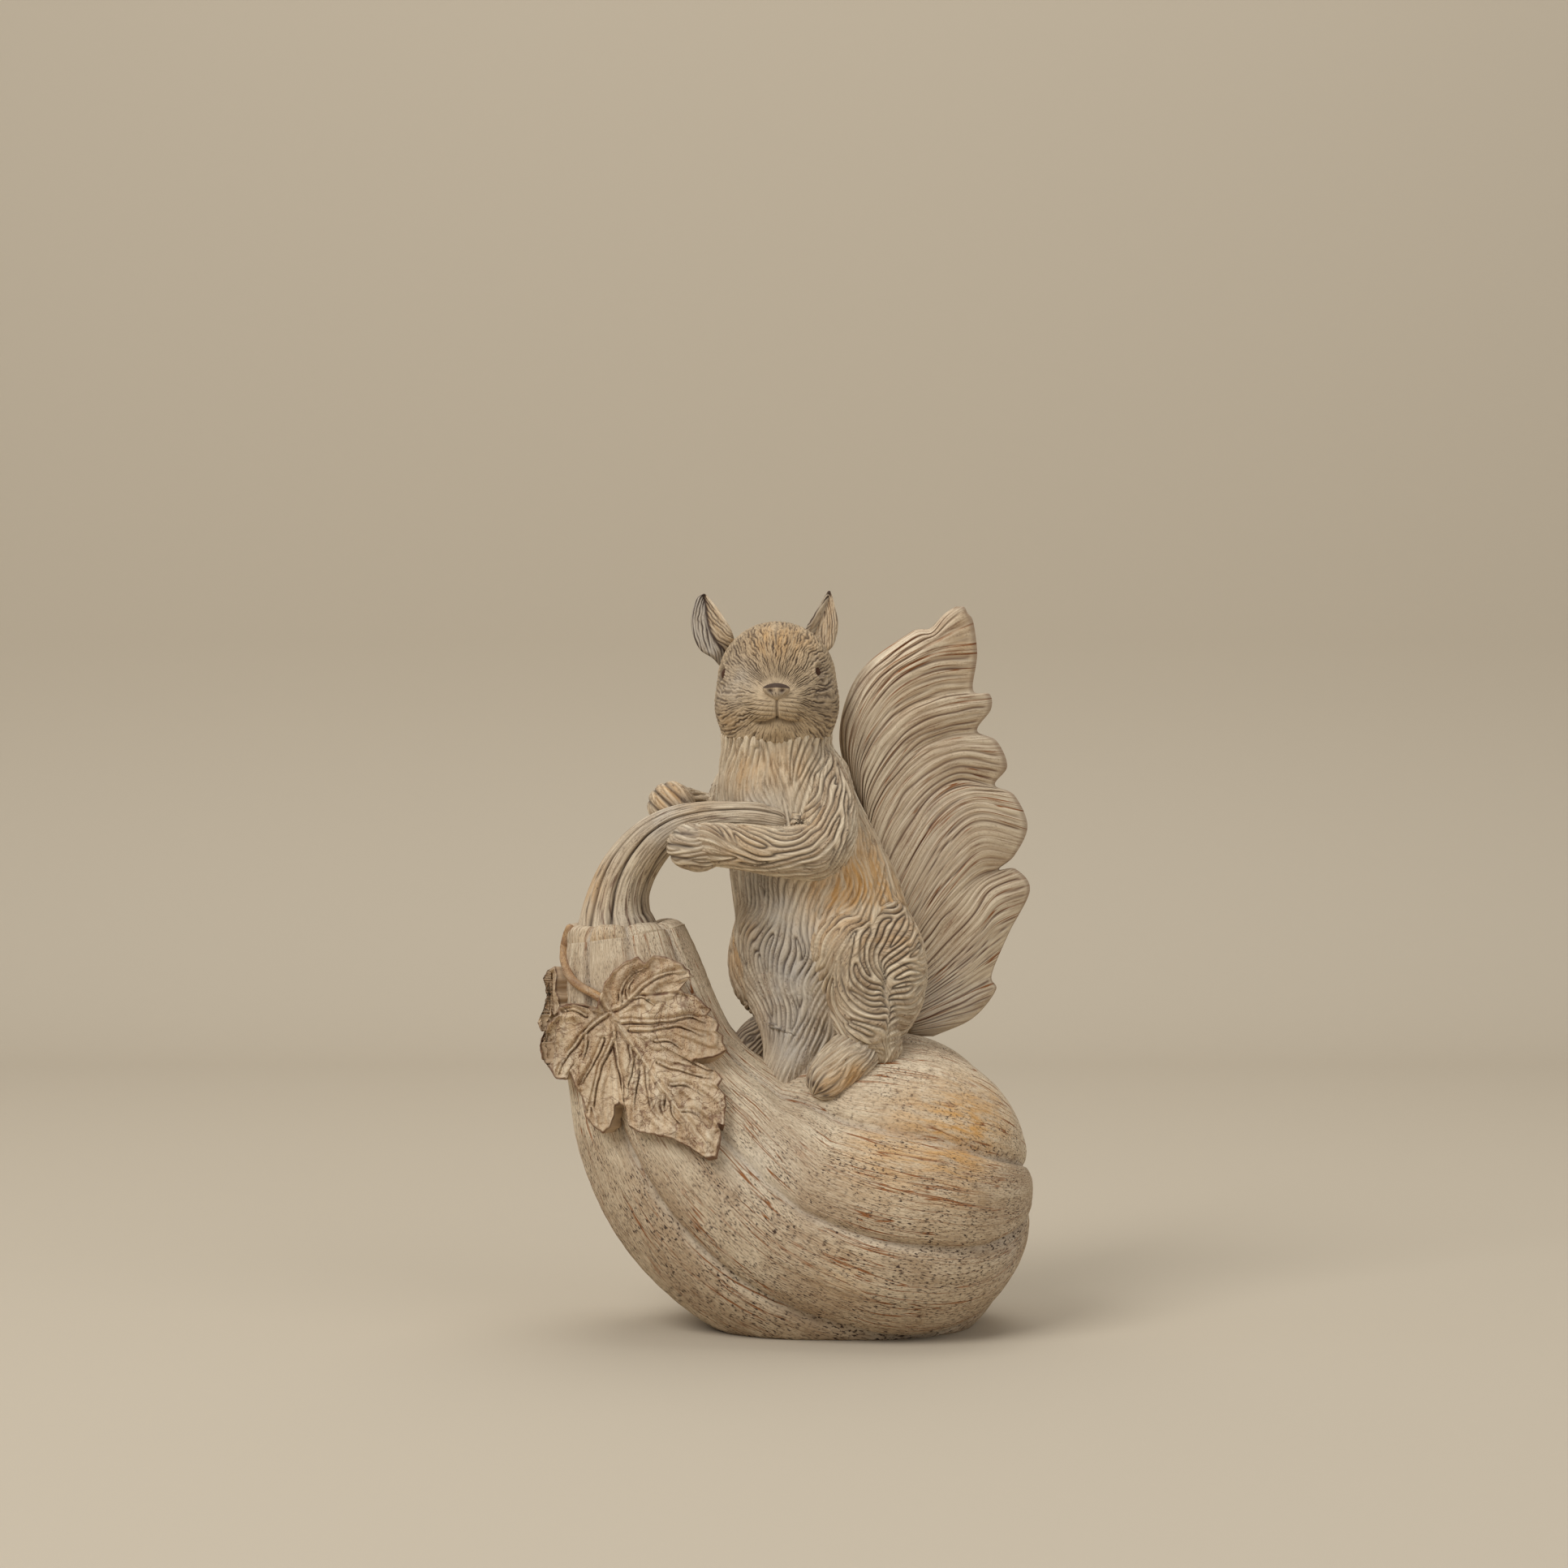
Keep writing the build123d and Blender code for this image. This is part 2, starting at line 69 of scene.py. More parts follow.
# the place in millimetres of a spot of the picture at a depth: the offset from the picture's middle,
# times the depth from the camera over the lens's length in picture dots
def seen(x, y, depth):
    x, y, depth = np.broadcast_arrays(*[np.asarray(value, float) for value in (x, y, depth)])
    share = (depth - cameraAt[1]) / cameraDots
    right, up = (x - pictureMiddle) * share, (pictureMiddle - y) * share
    return np.stack([cameraAt[0] + right, depth, cameraAt[2] + up], axis=-1)


# turns a colour of 0 to 255, as a picture has it, into the linear values that shaders use
def linear(red, green, blue):
    values = np.array([red, green, blue]) / 255.0
    values = np.where(values <= 0.04045, values / 12.92, ((values + 0.055) / 1.055) ** 2.4)
    return (float(values[0]), float(values[1]), float(values[2]), 1.0)


# values held between 0 and 1
def held(x):
    return np.clip(x, 0, 1)


# each value less the whole number below it
def fraction(x):
    return x - np.floor(x)


# the distance to the nearest whole number
def toWhole(x):
    return np.minimum(fraction(x), np.ceil(x) - x)


# half a circle's height over each whole step: the root of one less the square of twice the fraction less
# one
def hump(x):
    return np.sqrt(held(1 - (2 * fraction(x) - 1) ** 2))


# rises from 0 at low to 1 at high, along three times the square less twice the cube
def smooth(low, high, x):
    t = np.clip((x - low) / (high - low), 0.0, 1.0)
    return t * t * (3 - 2 * t)


# a soft hill: e to the minus square of x over width
def hill(x, width):
    return np.exp(-((x / width) ** 2))


# a steady random share for each whole-number cell: products with large primes, folded by shifts
def scatter(i, j, seed):
    i, j = np.asarray(i, dtype=np.int64), np.asarray(j, dtype=np.int64)
    n = (i * 374761393 + j * 668265263 + seed * 974634777) & 0xFFFFFFFF
    n = ((n ^ (n >> 13)) * 1274126177) & 0xFFFFFFFF
    return (n ^ (n >> 16)) / 4294967295.0


# smooth noise from -1 to 1 on a plane: the four cells round a point, mixed by an eased share
def ripple(x, y, seed):
    x, y = np.broadcast_arrays(x, y)
    i, j = np.floor(x), np.floor(y)
    u, v = smooth(0, 1, x - i), smooth(0, 1, y - j)
    low = scatter(i, j, seed) * (1 - u) + scatter(i + 1, j, seed) * u
    high = scatter(i, j + 1, seed) * (1 - u) + scatter(i + 1, j + 1, seed) * u
    return 2 * (low * (1 - v) + high * v) - 1


# a smooth curve through the rows of a table: on each span, the cubic whose end slopes are half the chord
# between the neighbours, with count places spread evenly over the spans
def curveThrough(rows, count):
    rows = np.asarray(rows, dtype=float)
    padded = np.vstack([2 * rows[:1] - rows[1:2], rows, 2 * rows[-1:] - rows[-2:-1]])
    at = np.linspace(0, len(rows) - 1, count)
    k = np.minimum(at.astype(int), len(rows) - 2)
    t = (at - k)[:, None]
    a, b, c, d = padded[k], padded[k + 1], padded[k + 2], padded[k + 3]
    easeIn, easeOut = 2 * t**3 - 3 * t**2 + 1, 3 * t**2 - 2 * t**3
    return b * easeIn + (c - a) / 2 * (t**3 - 2 * t**2 + t) + c * easeOut + (d - b) / 2 * (t**3 - t**2)


# a curve with its places spread evenly along its length
def evenCurve(rows, count):
    dense = curveThrough(rows, 60 * len(rows))
    steps = np.linalg.norm(np.diff(dense[:, :3], axis=0), axis=1)
    run = np.concatenate([[0.0], np.cumsum(steps)])
    want = np.linspace(0, run[-1], count)
    return np.stack([np.interp(want, run, dense[:, k]) for k in range(dense.shape[1])], axis=-1)


# vectors over their own length
def unit(vectors):
    return vectors / np.maximum(np.linalg.norm(vectors, axis=-1, keepdims=True), 1e-9)


# two directions square to a path: the hint with its part along the path taken out, and the cross of both
def framesOn(path, hint):
    way = unit(np.gradient(path, axis=0))
    hint = np.broadcast_to(np.asarray(hint, dtype=float), path.shape)
    side = unit(hint - way * np.sum(hint * way, axis=1, keepdims=True))
    return way, side, np.cross(way, side)


# rays for a round-ended tube: round each place of the path they stand square to it, and at a capped end
# they swing over to the path's own direction, as on half a ball. They stand at even angles, or at those
# of turned
def tubeRays(path, hint, cols, startCap=0, endCap=0, turned=None):
    way, side, up = framesOn(path, hint)
    cap = lambda rows: np.linspace(90.0 / max(rows, 1), 89.5, rows)
    swing = np.radians(np.concatenate([-cap(startCap)[::-1], np.zeros(len(path)), cap(endCap)]))
    swing = swing[:, None, None]
    pick = np.concatenate([np.zeros(startCap, int), np.arange(len(path)), np.full(endCap, len(path) - 1)])
    angle = np.arange(cols) / cols * 2 * math.pi * np.ones((len(pick), 1))
    turned = (angle if turned is None else turned)[..., None]
    ring = side[pick][:, None] * np.cos(turned) + up[pick][:, None] * np.sin(turned)
    ways = ring * np.cos(swing) + way[pick][:, None] * np.sin(swing)
    return path[pick][:, None] * np.ones((1, cols, 1)), ways, angle


# walks each ray outward by the gap that is left until it stands on the surface
def cast(centres, ways, gap, reach, steps=16):
    out = np.full(ways.shape[:2], 0.5)
    for step in range(steps):
        out = np.clip(out - gap(centres + ways * out[..., None]), 0.05, reach)
    return centres + ways * out[..., None]


# distance to an ellipsoid: the scaled radius times itself less one, over the slope
def ballGap(p, centre, radii):
    q, radii = p - np.asarray(centre), np.asarray(radii)
    near = np.linalg.norm(q / radii, axis=-1)
    slope = np.linalg.norm(q / np.square(radii), axis=-1)
    return near * (near - 1) / np.maximum(slope, 1e-6)


# distance to a round-ended cone: the distance to its axis, less the radius there
def coneGap(p, a, b, ra, rb):
    a, b = np.asarray(a, float), np.asarray(b, float)
    t = held(((p - a) @ (b - a)) / np.dot(b - a, b - a))
    return np.linalg.norm(p - a - t[..., None] * (b - a), axis=-1) - (ra + t * (rb - ra))


# the smaller of two gaps, rounded where they are within k of each other
def merge(a, b, k):
    h = held(0.5 + 0.5 * (b - a) / k)
    return b * (1 - h) + a * h - k * h * (1 - h)


# normals of a grid whose columns close: the cross of its difference across and its difference along
def normalsOf(grid):
    across = np.roll(grid, -1, axis=1) - np.roll(grid, 1, axis=1)
    return unit(np.cross(across, np.gradient(grid, axis=0)))


# the distance run from row to row, as the mean of the columns
def rowRun(grid):
    steps = np.linalg.norm(np.diff(grid, axis=0), axis=-1).mean(axis=1)
    return np.concatenate([[0.0], np.cumsum(steps)])[:, None] * np.ones((1, grid.shape[1]))


# sum of soft round patches: each row is a place, a reach and a strength
def patches(points, table):
    total = np.zeros(points.shape[:-1])
    for x, y, z, reach, strength in table:
        total += strength * hill(np.linalg.norm(points - np.array([x, y, z]), axis=-1), reach)
    return total


# the same at spots of the picture: each row is a spot, its depth, a reach and a strength
def marks(points, table):
    return patches(points, [(*seen(*row[:3]), *row[3:]) for row in table])


# carved hair: the distance across the flow is bent by slow waves and cut into numbered strands. Each is a
# round ridge, and the groove beside it deepens and fades along its run. Gives height, groove and the
# strand's own tone
def strands(across, lengthwise, look, seed):
    wide, long = look["swayWidth"], look["swayLength"]
    sway = ripple(across / wide, lengthwise / long, seed)
    sway = sway + 0.4 * ripple(across / (0.4 * wide), lengthwise / (0.45 * long), seed + 1)
    w = (across + look["sway"] * sway) / look["pitch"]
    w = w + 0.22 * ripple(w * 0.7, lengthwise / (0.3 * look["run"]), seed + 6)
    k, f = np.floor(w), fraction(w)
    nearest = np.floor(w + 0.5)
    runs = lengthwise / look["run"]
    fade = 0.5 + 0.5 * ripple(runs + 31 * scatter(nearest, 3, seed), nearest * 0.73, seed + 2)
    fade = 0.2 + 0.8 * smooth(0.25, 0.75, fade)
    groove = hill(np.minimum(f, 1 - f), look["cut"]) * fade
    own = 0.5 + 0.5 * ripple(k * 0.61, runs + 17 * scatter(k, 5, seed), seed + 4)
    ridge = 1 - (2 * f - 1) ** 2
    height = look["depth"] * (0.55 * ridge * (0.4 + 0.6 * own) - groove)
    return height, groove, own


# spreads a coarse field evenly over a finer grid, first down the rows and then along them
def spreadOver(field, rows, cols):
    return curveThrough(curveThrough(field, rows).T, cols).T


# how flow is worked out: rows and columns of the coarse grid, the steps and small lengths of the fit, the
# count of waves, and the steps and longest step, in grid cells, of a walk along the flow
flowSizes = dict(
    coarse=(110, 120),
    fitSteps=700,
    tiny=0.02,
    ratios=(0.08, 12.0),
    waves=140,
    walk=10,
    stride=6,
)


# the field whose steps along a grid's edges come nearest to those of a wanted slope. Each edge weighs as
# the length of the edges across it over its own, and conjugate gradients do the sums
def fitField(places, slope):
    stepU, stepV = places[:, 1:] - places[:, :-1], places[1:] - places[:-1]
    wantU = np.sum((slope[:, 1:] + slope[:, :-1]) / 2 * stepU, axis=-1)
    wantV = np.sum((slope[1:] + slope[:-1]) / 2 * stepV, axis=-1)
    slopes = np.gradient(places, axis=(0, 1))
    lengthV, lengthU = [np.linalg.norm(slope, axis=-1) + flowSizes["tiny"] for slope in slopes]
    ratio = np.clip(lengthV / lengthU, *flowSizes["ratios"])
    weightU, weightV = (ratio[:, 1:] + ratio[:, :-1]) / 2, (1 / ratio[1:] + 1 / ratio[:-1]) / 2

    # at each point, what comes in along its edges less what goes out
    def gather(edgesU, edgesV):
        total = np.zeros(places.shape[:2])
        total[:, 1:] += edgesU
        total[:, :-1] -= edgesU
        total[1:] += edgesV
        total[:-1] -= edgesV
        return total

    field = np.zeros(places.shape[:2])
    rest = gather(weightU * wantU, weightV * wantV)
    way = rest.copy()
    power = np.sum(rest * rest)
    for step in range(flowSizes["fitSteps"]):
        pushed = gather(weightU * (way[:, 1:] - way[:, :-1]), weightV * (way[1:] - way[:-1]))
        share = power / max(np.sum(way * pushed), 1e-12)
        field, rest = field + share * way, rest - share * pushed
        after = np.sum(rest * rest)
        way, power = rest + after / max(power, 1e-12) * way, after
    return field - field.mean()


# a field read between a grid's points. Past the last column it goes on with the first
def readBetween(field, row, col):
    rows, cols = field.shape
    row = np.clip(row, 0, rows - 1.001)
    top, left = np.floor(row).astype(int), np.floor(col).astype(int)
    down, over = row - top, col - left
    left, right = left % cols, (left + 1) % cols
    upper = field[top, left] * (1 - over) + field[top, right] * over
    lower = field[top + 1, left] * (1 - over) + field[top + 1, right] * over
    return upper * (1 - down) + lower * down


# waves over a skin that run across a flow. Each of many flat waves in space counts as far as it faces
# across
def wavesOver(grid, way, normal, pitch, seed):
    random, waves = np.random.default_rng(seed), flowSizes["waves"]
    aims = unit(random.normal(size=(waves, 3)))
    sides = np.cross(way, normal)
    total = np.zeros(grid.shape[:2])
    starts, shares = random.uniform(0, 2 * math.pi, waves), random.uniform(0.8, 1.3, waves)
    for aim, start, share in zip(aims, starts, shares):
        total += (sides @ aim) ** 4 * np.cos(grid @ aim * (math.pi * share / pitch) + start)
    return total


# carves strands that follow a flow over the skin. Waves are averaged along the flow, so that they run in
# long bands. A groove lies where a band crosses its middle value. Its distance in millimetres is the
# value over its slope
def wisps(grid, way, look, seed):
    normal = normalsOf(grid)
    overU = (np.roll(grid, -1, axis=1) - np.roll(grid, 1, axis=1)) / 2
    overV = np.gradient(grid, axis=0)
    uu, uv, vv = np.sum(overU**2, axis=-1), np.sum(overU * overV, axis=-1), np.sum(overV**2, axis=-1)
    area = uu * vv - uv**2 + 1e-4
    wu, wv = np.sum(way * overU, axis=-1), np.sum(way * overV, axis=-1)
    walk, stride = flowSizes["walk"], flowSizes["stride"]
    pace = look["run"] / walk
    stepCol = np.clip((vv * wu - uv * wv) / area * pace, -stride, stride)
    stepRow = np.clip((uu * wv - uv * wu) / area * pace, -stride, stride)
    spots = []
    for sign in (1, -1):
        row, col = np.indices(grid.shape[:2]).astype(float)
        for step in range(walk):
            down, over = readBetween(stepRow, row, col), readBetween(stepCol, row, col)
            row, col = row + sign * down, col + sign * over
            spots.append((row, col, 1 - step / (walk + 1)))

    # the field averaged along the flow, over its own mean size
    def drawn(field):
        total = field + sum(share * readBetween(field, row, col) for row, col, share in spots)
        return total / np.sqrt(np.mean(total**2))

    band = drawn(wavesOver(grid, way, normal, look["pitch"], seed))
    other = drawn(wavesOver(grid, way, normal, look["pitch"] * 0.55, seed + 1))

    # the distance to the middle value: the value over its slope on the skin
    def offMiddle(values):
        slopeU = (np.roll(values, -1, axis=1) - np.roll(values, 1, axis=1)) / 2
        slopeV = np.gradient(values, axis=0)
        slope = np.sqrt(np.maximum(slopeU**2 * vv - 2 * slopeU * slopeV * uv + slopeV**2 * uu, 0) / area)
        return np.abs(values) / (slope + 0.12)

    off, offFine = offMiddle(band), offMiddle(other)
    weak = 0.5 + 0.5 * ripple(grid[..., 0] / 7 + grid[..., 1] / 9, grid[..., 2] / 8, seed + 2)
    groove = hill(off, look["cut"]) * (0.35 + 0.65 * smooth(0.15, 0.6, weak))
    fine = 0.45 * hill(offFine, 0.7 * look["cut"]) * smooth(0.7, 0.3, weak)
    own = held(0.5 + 0.3 * band + 0.25 * other)
    height = look["depth"] * (0.5 * (1 - hill(off, 0.9)) * (0.5 + 0.5 * own) - groove - 0.6 * fine)
    return height, np.maximum(groove, fine), own


# combs a skin. Arrows say how hair runs at spots of the picture, as degrees from the right, clockwise.
# Elsewhere it runs along the columns, onward or back. Flow coordinates are fitted that grow a millimetre
# for each across the hair and along it. They are cut open where the columns start
def combed(grid, arrows, onward, reach):
    rows, cols = grid.shape[:2]
    few = flowSizes["coarse"]
    down, over = [np.linspace(0, n - 1, k).round().astype(int) for n, k in zip((rows, cols), few)]
    places = grid[down][:, over]
    normal = normalsOf(grid)[down][:, over]
    way = unit(np.gradient(grid, axis=0))[down][:, over] * onward * 0.02
    facing = normal[..., 1] < -0.12
    view = places - cameraAt
    x = pictureMiddle + view[..., 0] / view[..., 1] * cameraDots
    y = pictureMiddle - view[..., 2] / view[..., 1] * cameraDots
    for spotX, spotY, degrees in arrows:
        off = np.hypot(x - spotX, y - spotY) + np.where(facing, 0, 1e6)
        best = np.unravel_index(np.argmin(off), off.shape)
        if off[best] < 14:
            turn = math.radians(degrees)
            arrow = np.array([math.cos(turn), 0.0, -math.sin(turn)])
            ray = unit(view[best])
            arrow = unit(arrow - ray * np.dot(arrow, normal[best]) / np.dot(ray, normal[best]))
            near = np.exp(-0.5 * np.sum((places - places[best]) ** 2, axis=-1) / reach**2)
            way = way + near[..., None] * arrow
    way = unit(way - normal * np.sum(way * normal, axis=-1)[..., None])
    sway = 0.45 * ripple(places[..., 0] / 7 + places[..., 1] / 9, places[..., 2] / 9, 7)[..., None]
    way = way * np.cos(sway) + np.cross(normal, way) * np.sin(sway)
    across = spreadOver(fitField(places, np.cross(way, normal)), rows, cols)
    along = spreadOver(fitField(places, way), rows, cols)
    way = unit(np.stack([spreadOver(way[..., k], rows, cols) for k in range(3)], axis=-1))
    return across, along, way


# gathers closed grids, their flow coordinates in centimetres and their painted masks into one mesh
class Shell:
    def __init__(self):
        self.points, self.quads, self.tris, self.quadUv, self.triUv = [], [], [], [], []
        self.masks, self.count = [], 0

    # takes rows by columns of points in millimetres, closes the columns on themselves and each end row by
    # a fan round its middle point
    def add(self, grid, across, lengthwise, groove=0.0, tone=0.5, stain=0.0, frost=0.0):
        rows, cols = grid.shape[:2]
        uv = np.stack([across * np.ones((rows, cols)), lengthwise * np.ones((rows, cols))], axis=-1)
        uv = np.concatenate([uv, 2 * uv[:, -1:] - uv[:, -2:-1]], axis=1) / 10.0
        ids = np.arange(rows * cols).reshape(rows, cols) + self.count
        after = np.roll(ids, -1, axis=1)
        first, last = self.count + rows * cols, self.count + rows * cols + 1
        self.quads.append(np.stack([ids[:-1], after[:-1], after[1:], ids[1:]], axis=-1).reshape(-1, 4))
        quadUv = np.stack([uv[:-1, :-1], uv[:-1, 1:], uv[1:, 1:], uv[1:, :-1]], axis=2)
        self.quadUv.append(quadUv.reshape(-1, 4, 2))
        self.tris.append(np.stack([after[0], ids[0], np.full(cols, first)], axis=-1))
        self.tris.append(np.stack([ids[-1], after[-1], np.full(cols, last)], axis=-1))
        self.triUv.append(np.stack([uv[0, 1:], uv[0, :-1], uv[0, :-1]], axis=1))
        self.triUv.append(np.stack([uv[-1, :-1], uv[-1, 1:], uv[-1, :-1]], axis=1))
        ends = [grid[0].mean(axis=0), grid[-1].mean(axis=0)]
        self.points.append(np.concatenate([grid.reshape(-1, 3), ends]))
        masks = np.stack([np.broadcast_to(m, (rows, cols)) for m in (groove, tone, stain, frost)], axis=-1)
        self.masks.append(np.concatenate([masks.reshape(-1, 4), masks[[0, -1]].mean(axis=1)]))
        self.count += rows * cols + 2

    # writes the mesh, its flow coordinates and its masks, and hands the piece to the frame
    def build(self, name, node, material):
        points = np.concatenate(self.points) / 1000.0
        quads, tris = np.concatenate(self.quads), np.concatenate(self.tris)
        mesh = bpy.data.meshes.new(name)
        mesh.vertices.add(len(points))
        mesh.vertices.foreach_set("co", points.astype(np.float32).ravel())
        corners = np.concatenate([quads.ravel(), tris.ravel()]).astype(np.int32)
        starts = np.concatenate([np.arange(len(quads)) * 4, len(quads) * 4 + np.arange(len(tris)) * 3])
        mesh.loops.add(len(corners))
        mesh.loops.foreach_set("vertex_index", corners)
        mesh.polygons.add(len(starts))
        mesh.polygons.foreach_set("loop_start", starts.astype(np.int32))
        mesh.update(calc_edges=True)
        mesh.polygons.foreach_set("use_smooth", np.ones(len(starts), dtype=bool))
        layer = mesh.uv_layers.new(name="flow")
        uv = np.concatenate([part.reshape(-1, 2) for part in self.quadUv + self.triUv])
        layer.data.foreach_set("uv", uv.astype(np.float32).ravel())
        values = held(np.concatenate(self.masks))
        for k, label in enumerate(("groove", "tone", "stain", "frost")):
            attribute = mesh.attributes.new(label, "FLOAT", "POINT")
            attribute.data.foreach_set("value", values[:, k].astype(np.float32))
        mesh.update()
        piece = bpy.data.objects.new(name, mesh)
        bpy.context.collection.objects.link(piece)
        mesh.materials.append(material)
        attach(piece, "root")
        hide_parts(node)
        report(f"{name}, {len(quads) * 2 + len(tris)} triangles")


paintTable = dict(
    bone=(228, 212, 184), tan=(176, 152, 123), umber=(64, 48, 41), rust=(104, 66, 48), ochre=(206, 156, 90),
    ash=(200, 193, 182), sand=(204, 180, 146), moss=(148, 128, 101), orange=(150, 98, 58), pupil=(78, 52, 38),
    floor=(190, 178, 158),
)
paints = {name: linear(*values) for name, values in paintTable.items()}


# adds a node; settings name its options, or its input sockets with spaces as underscores
def place(tree, kind, **settings):
    node = tree.nodes.new(kind)
    for key, value in settings.items():
        if hasattr(node, key):
            setattr(node, key, value)
        else:
            node.inputs[key.replace("_", " ")].default_value = value
    return node


# links each pair of sockets
def join(tree, *pairs):
    for start, end in pairs:
        tree.links.new(start, end)


# sets an input to a number or a colour, or links it to a socket
def feed(tree, target, value):
    if isinstance(value, (int, float, tuple)):
        target.default_value = value
    else:
        tree.links.new(value, target)


# maps a range of values onto another, clamped
def remap(tree, source, low, high, outLow=0.0, outHigh=1.0):
    node = place(tree, "ShaderNodeMapRange")
    for index, value in enumerate((source, low, high, outLow, outHigh)):
        feed(tree, node.inputs[index], value)
    return node.outputs[0]


# a node of arithmetic on two values
def combine(tree, operation, a, b):
    node = place(tree, "ShaderNodeMath", operation=operation)
    feed(tree, node.inputs[0], a)
    feed(tree, node.inputs[1], b)
    return node.outputs[0]


# a mix of two paints by a share
def blendPaint(tree, share, a, b):
    node = place(tree, "ShaderNodeMix", data_type="RGBA", clamp_factor=True)
    for index, value in ((0, share), (6, a), (7, b)):
        feed(tree, node.inputs[index], value)
    return node.outputs[2]


# the noise at a vector
def noiseOf(tree, vector, scale, detail=3.0, rough=0.55, distort=0.0):
    node = place(tree, "ShaderNodeTexNoise", Scale=scale, Detail=detail, Roughness=rough, Distortion=distort)
    tree.links.new(vector, node.inputs["Vector"])
    return node.outputs["Fac"]


# the flow coordinates with each axis drawn out or pressed together
def stretched(tree, vector, across, lengthwise):
    scale = place(tree, "ShaderNodeCombineXYZ")
    feed(tree, scale.inputs[0], across)
    feed(tree, scale.inputs[1], lengthwise)
    node = place(tree, "ShaderNodeVectorMath", operation="MULTIPLY")
    join(tree, (vector, node.inputs[0]), (scale.outputs[0], node.inputs[1]))
    return node.outputs[0]


# washed paint over carving. The base runs from the middle to the light paint by strand tone, fine streaks
# and broad clouds. Stain and frost lie over it in patches. The dark wash fills the grooves and lays the
# painted shade that some pieces put into the groove mask; it also fills the fine streaks, pits, and long
# cracks, which are the thin lines where a drawn-out noise crosses its middle value
def makeWeathered():
    tree = bpy.data.node_groups.new("weatheredPaint", "ShaderNodeTree")
    kinds = dict(Vector="NodeSocketVector", Color="NodeSocketColor", Float="NodeSocketFloat")
    sockets = dict(
        Flow=None, Place=None, Groove=0.0, Tone=0.5, Stain=0.0, Frost=0.0,
        Light=paints["bone"], Middle=paints["tan"], Wash=paints["umber"], Wash_strength=0.85,
        Streak_across=16.0, Streak_along=1.2, Streak_depth=0.45,
        Cracks=0.0, Crack_across=1.6, Crack_along=0.1, Crack_paint=paints["rust"],
        Stipple=0.45, Stipple_along=11.0,
    )
    for label, value in sockets.items():
        kind = "Vector" if value is None else "Color" if isinstance(value, tuple) else "Float"
        label = label.replace("_", " ")
        socket = tree.interface.new_socket(name=label, in_out="INPUT", socket_type=kinds[kind])
        if value is not None:
            socket.default_value = value
    for label, kind in (("Color", "Color"), ("Roughness", "Float"), ("Height", "Float")):
        tree.interface.new_socket(name=label, in_out="OUTPUT", socket_type=kinds[kind])
    into = tree.nodes.new("NodeGroupInput").outputs
    out = tree.nodes.new("NodeGroupOutput").inputs
    sumOf = lambda a, b: combine(tree, "ADD", a, b)
    times = lambda a, b: combine(tree, "MULTIPLY", a, b)
    span = lambda source, *limits: remap(tree, source, *limits)
    drawnOut = lambda across, along: stretched(tree, into["Flow"], across, along)
    flowNoise = lambda across, along, *look: noiseOf(tree, drawnOut(across, along), 1.0, *look)
    streak = flowNoise(into["Streak across"], into["Streak along"], 4.0, 0.6, 0.4)
    lines = flowNoise(into["Crack across"], into["Crack along"], 2.5, 0.5, 0.6)
    broad = noiseOf(tree, into["Place"], 45.0, 3.0, 0.55)
    patch = noiseOf(tree, into["Place"], 110.0, 4.0, 0.65)
    grit = flowNoise(24.0, into["Stipple along"], 3.0, 0.65)
    smear = flowNoise(5.0, 0.7, 4.0, 0.65, 0.5)
    lift = sumOf(times(into["Tone"], 0.5), span(streak, 0.3, 0.7, -0.2, 0.45))
    lift = sumOf(lift, span(broad, 0.35, 0.65, -0.2, 0.25))
    base = blendPaint(tree, lift, into["Middle"], into["Light"])
    base = blendPaint(tree, times(into["Stain"], span(smear, 0.38, 0.6, 0.15, 1.0)), base, paints["ochre"])
    base = blendPaint(tree, times(into["Frost"], span(patch, 0.3, 0.65, 1.0, 0.4)), base, paints["ash"])
    gritty = times(times(span(grit, 0.52, 0.62), into["Stipple"]), span(patch, 0.4, 0.62, 0.4, 1.1))
    gritty = times(gritty, span(into["Tone"], 0.1, 0.9, 1.4, 0.6))
    fineCut = times(span(streak, 0.47, 0.3), into["Streak depth"])
    offLine = combine(tree, "ABSOLUTE", combine(tree, "SUBTRACT", lines, 0.5), 0.0)
    crack = times(times(span(offLine, 0.018, 0.006), into["Cracks"]), span(broad, 0.38, 0.55, 0.15, 1.0))
    dark = combine(tree, "MAXIMUM", times(into["Groove"], into["Wash strength"]), sumOf(fineCut, gritty))
    washed = blendPaint(tree, dark, blendPaint(tree, crack, base, into["Crack paint"]), into["Wash"])
    tall = combine(tree, "SUBTRACT", sumOf(streak, times(grit, 0.3)), crack)
    rough = span(patch, 0.3, 0.7, 0.72, 0.92)
    join(tree, (washed, out["Color"]), (tall, out["Height"]), (rough, out["Roughness"]))
    return tree


weathered = makeWeathered()


# a new material, its tree and its shader
def newPaint(name):
    material = bpy.data.materials.new(name)
    material.use_nodes = True
    shader = next(n for n in material.node_tree.nodes if n.type == "BSDF_PRINCIPLED")
    shader.inputs["Specular IOR Level"].default_value = 0.25
    return material, material.node_tree, shader


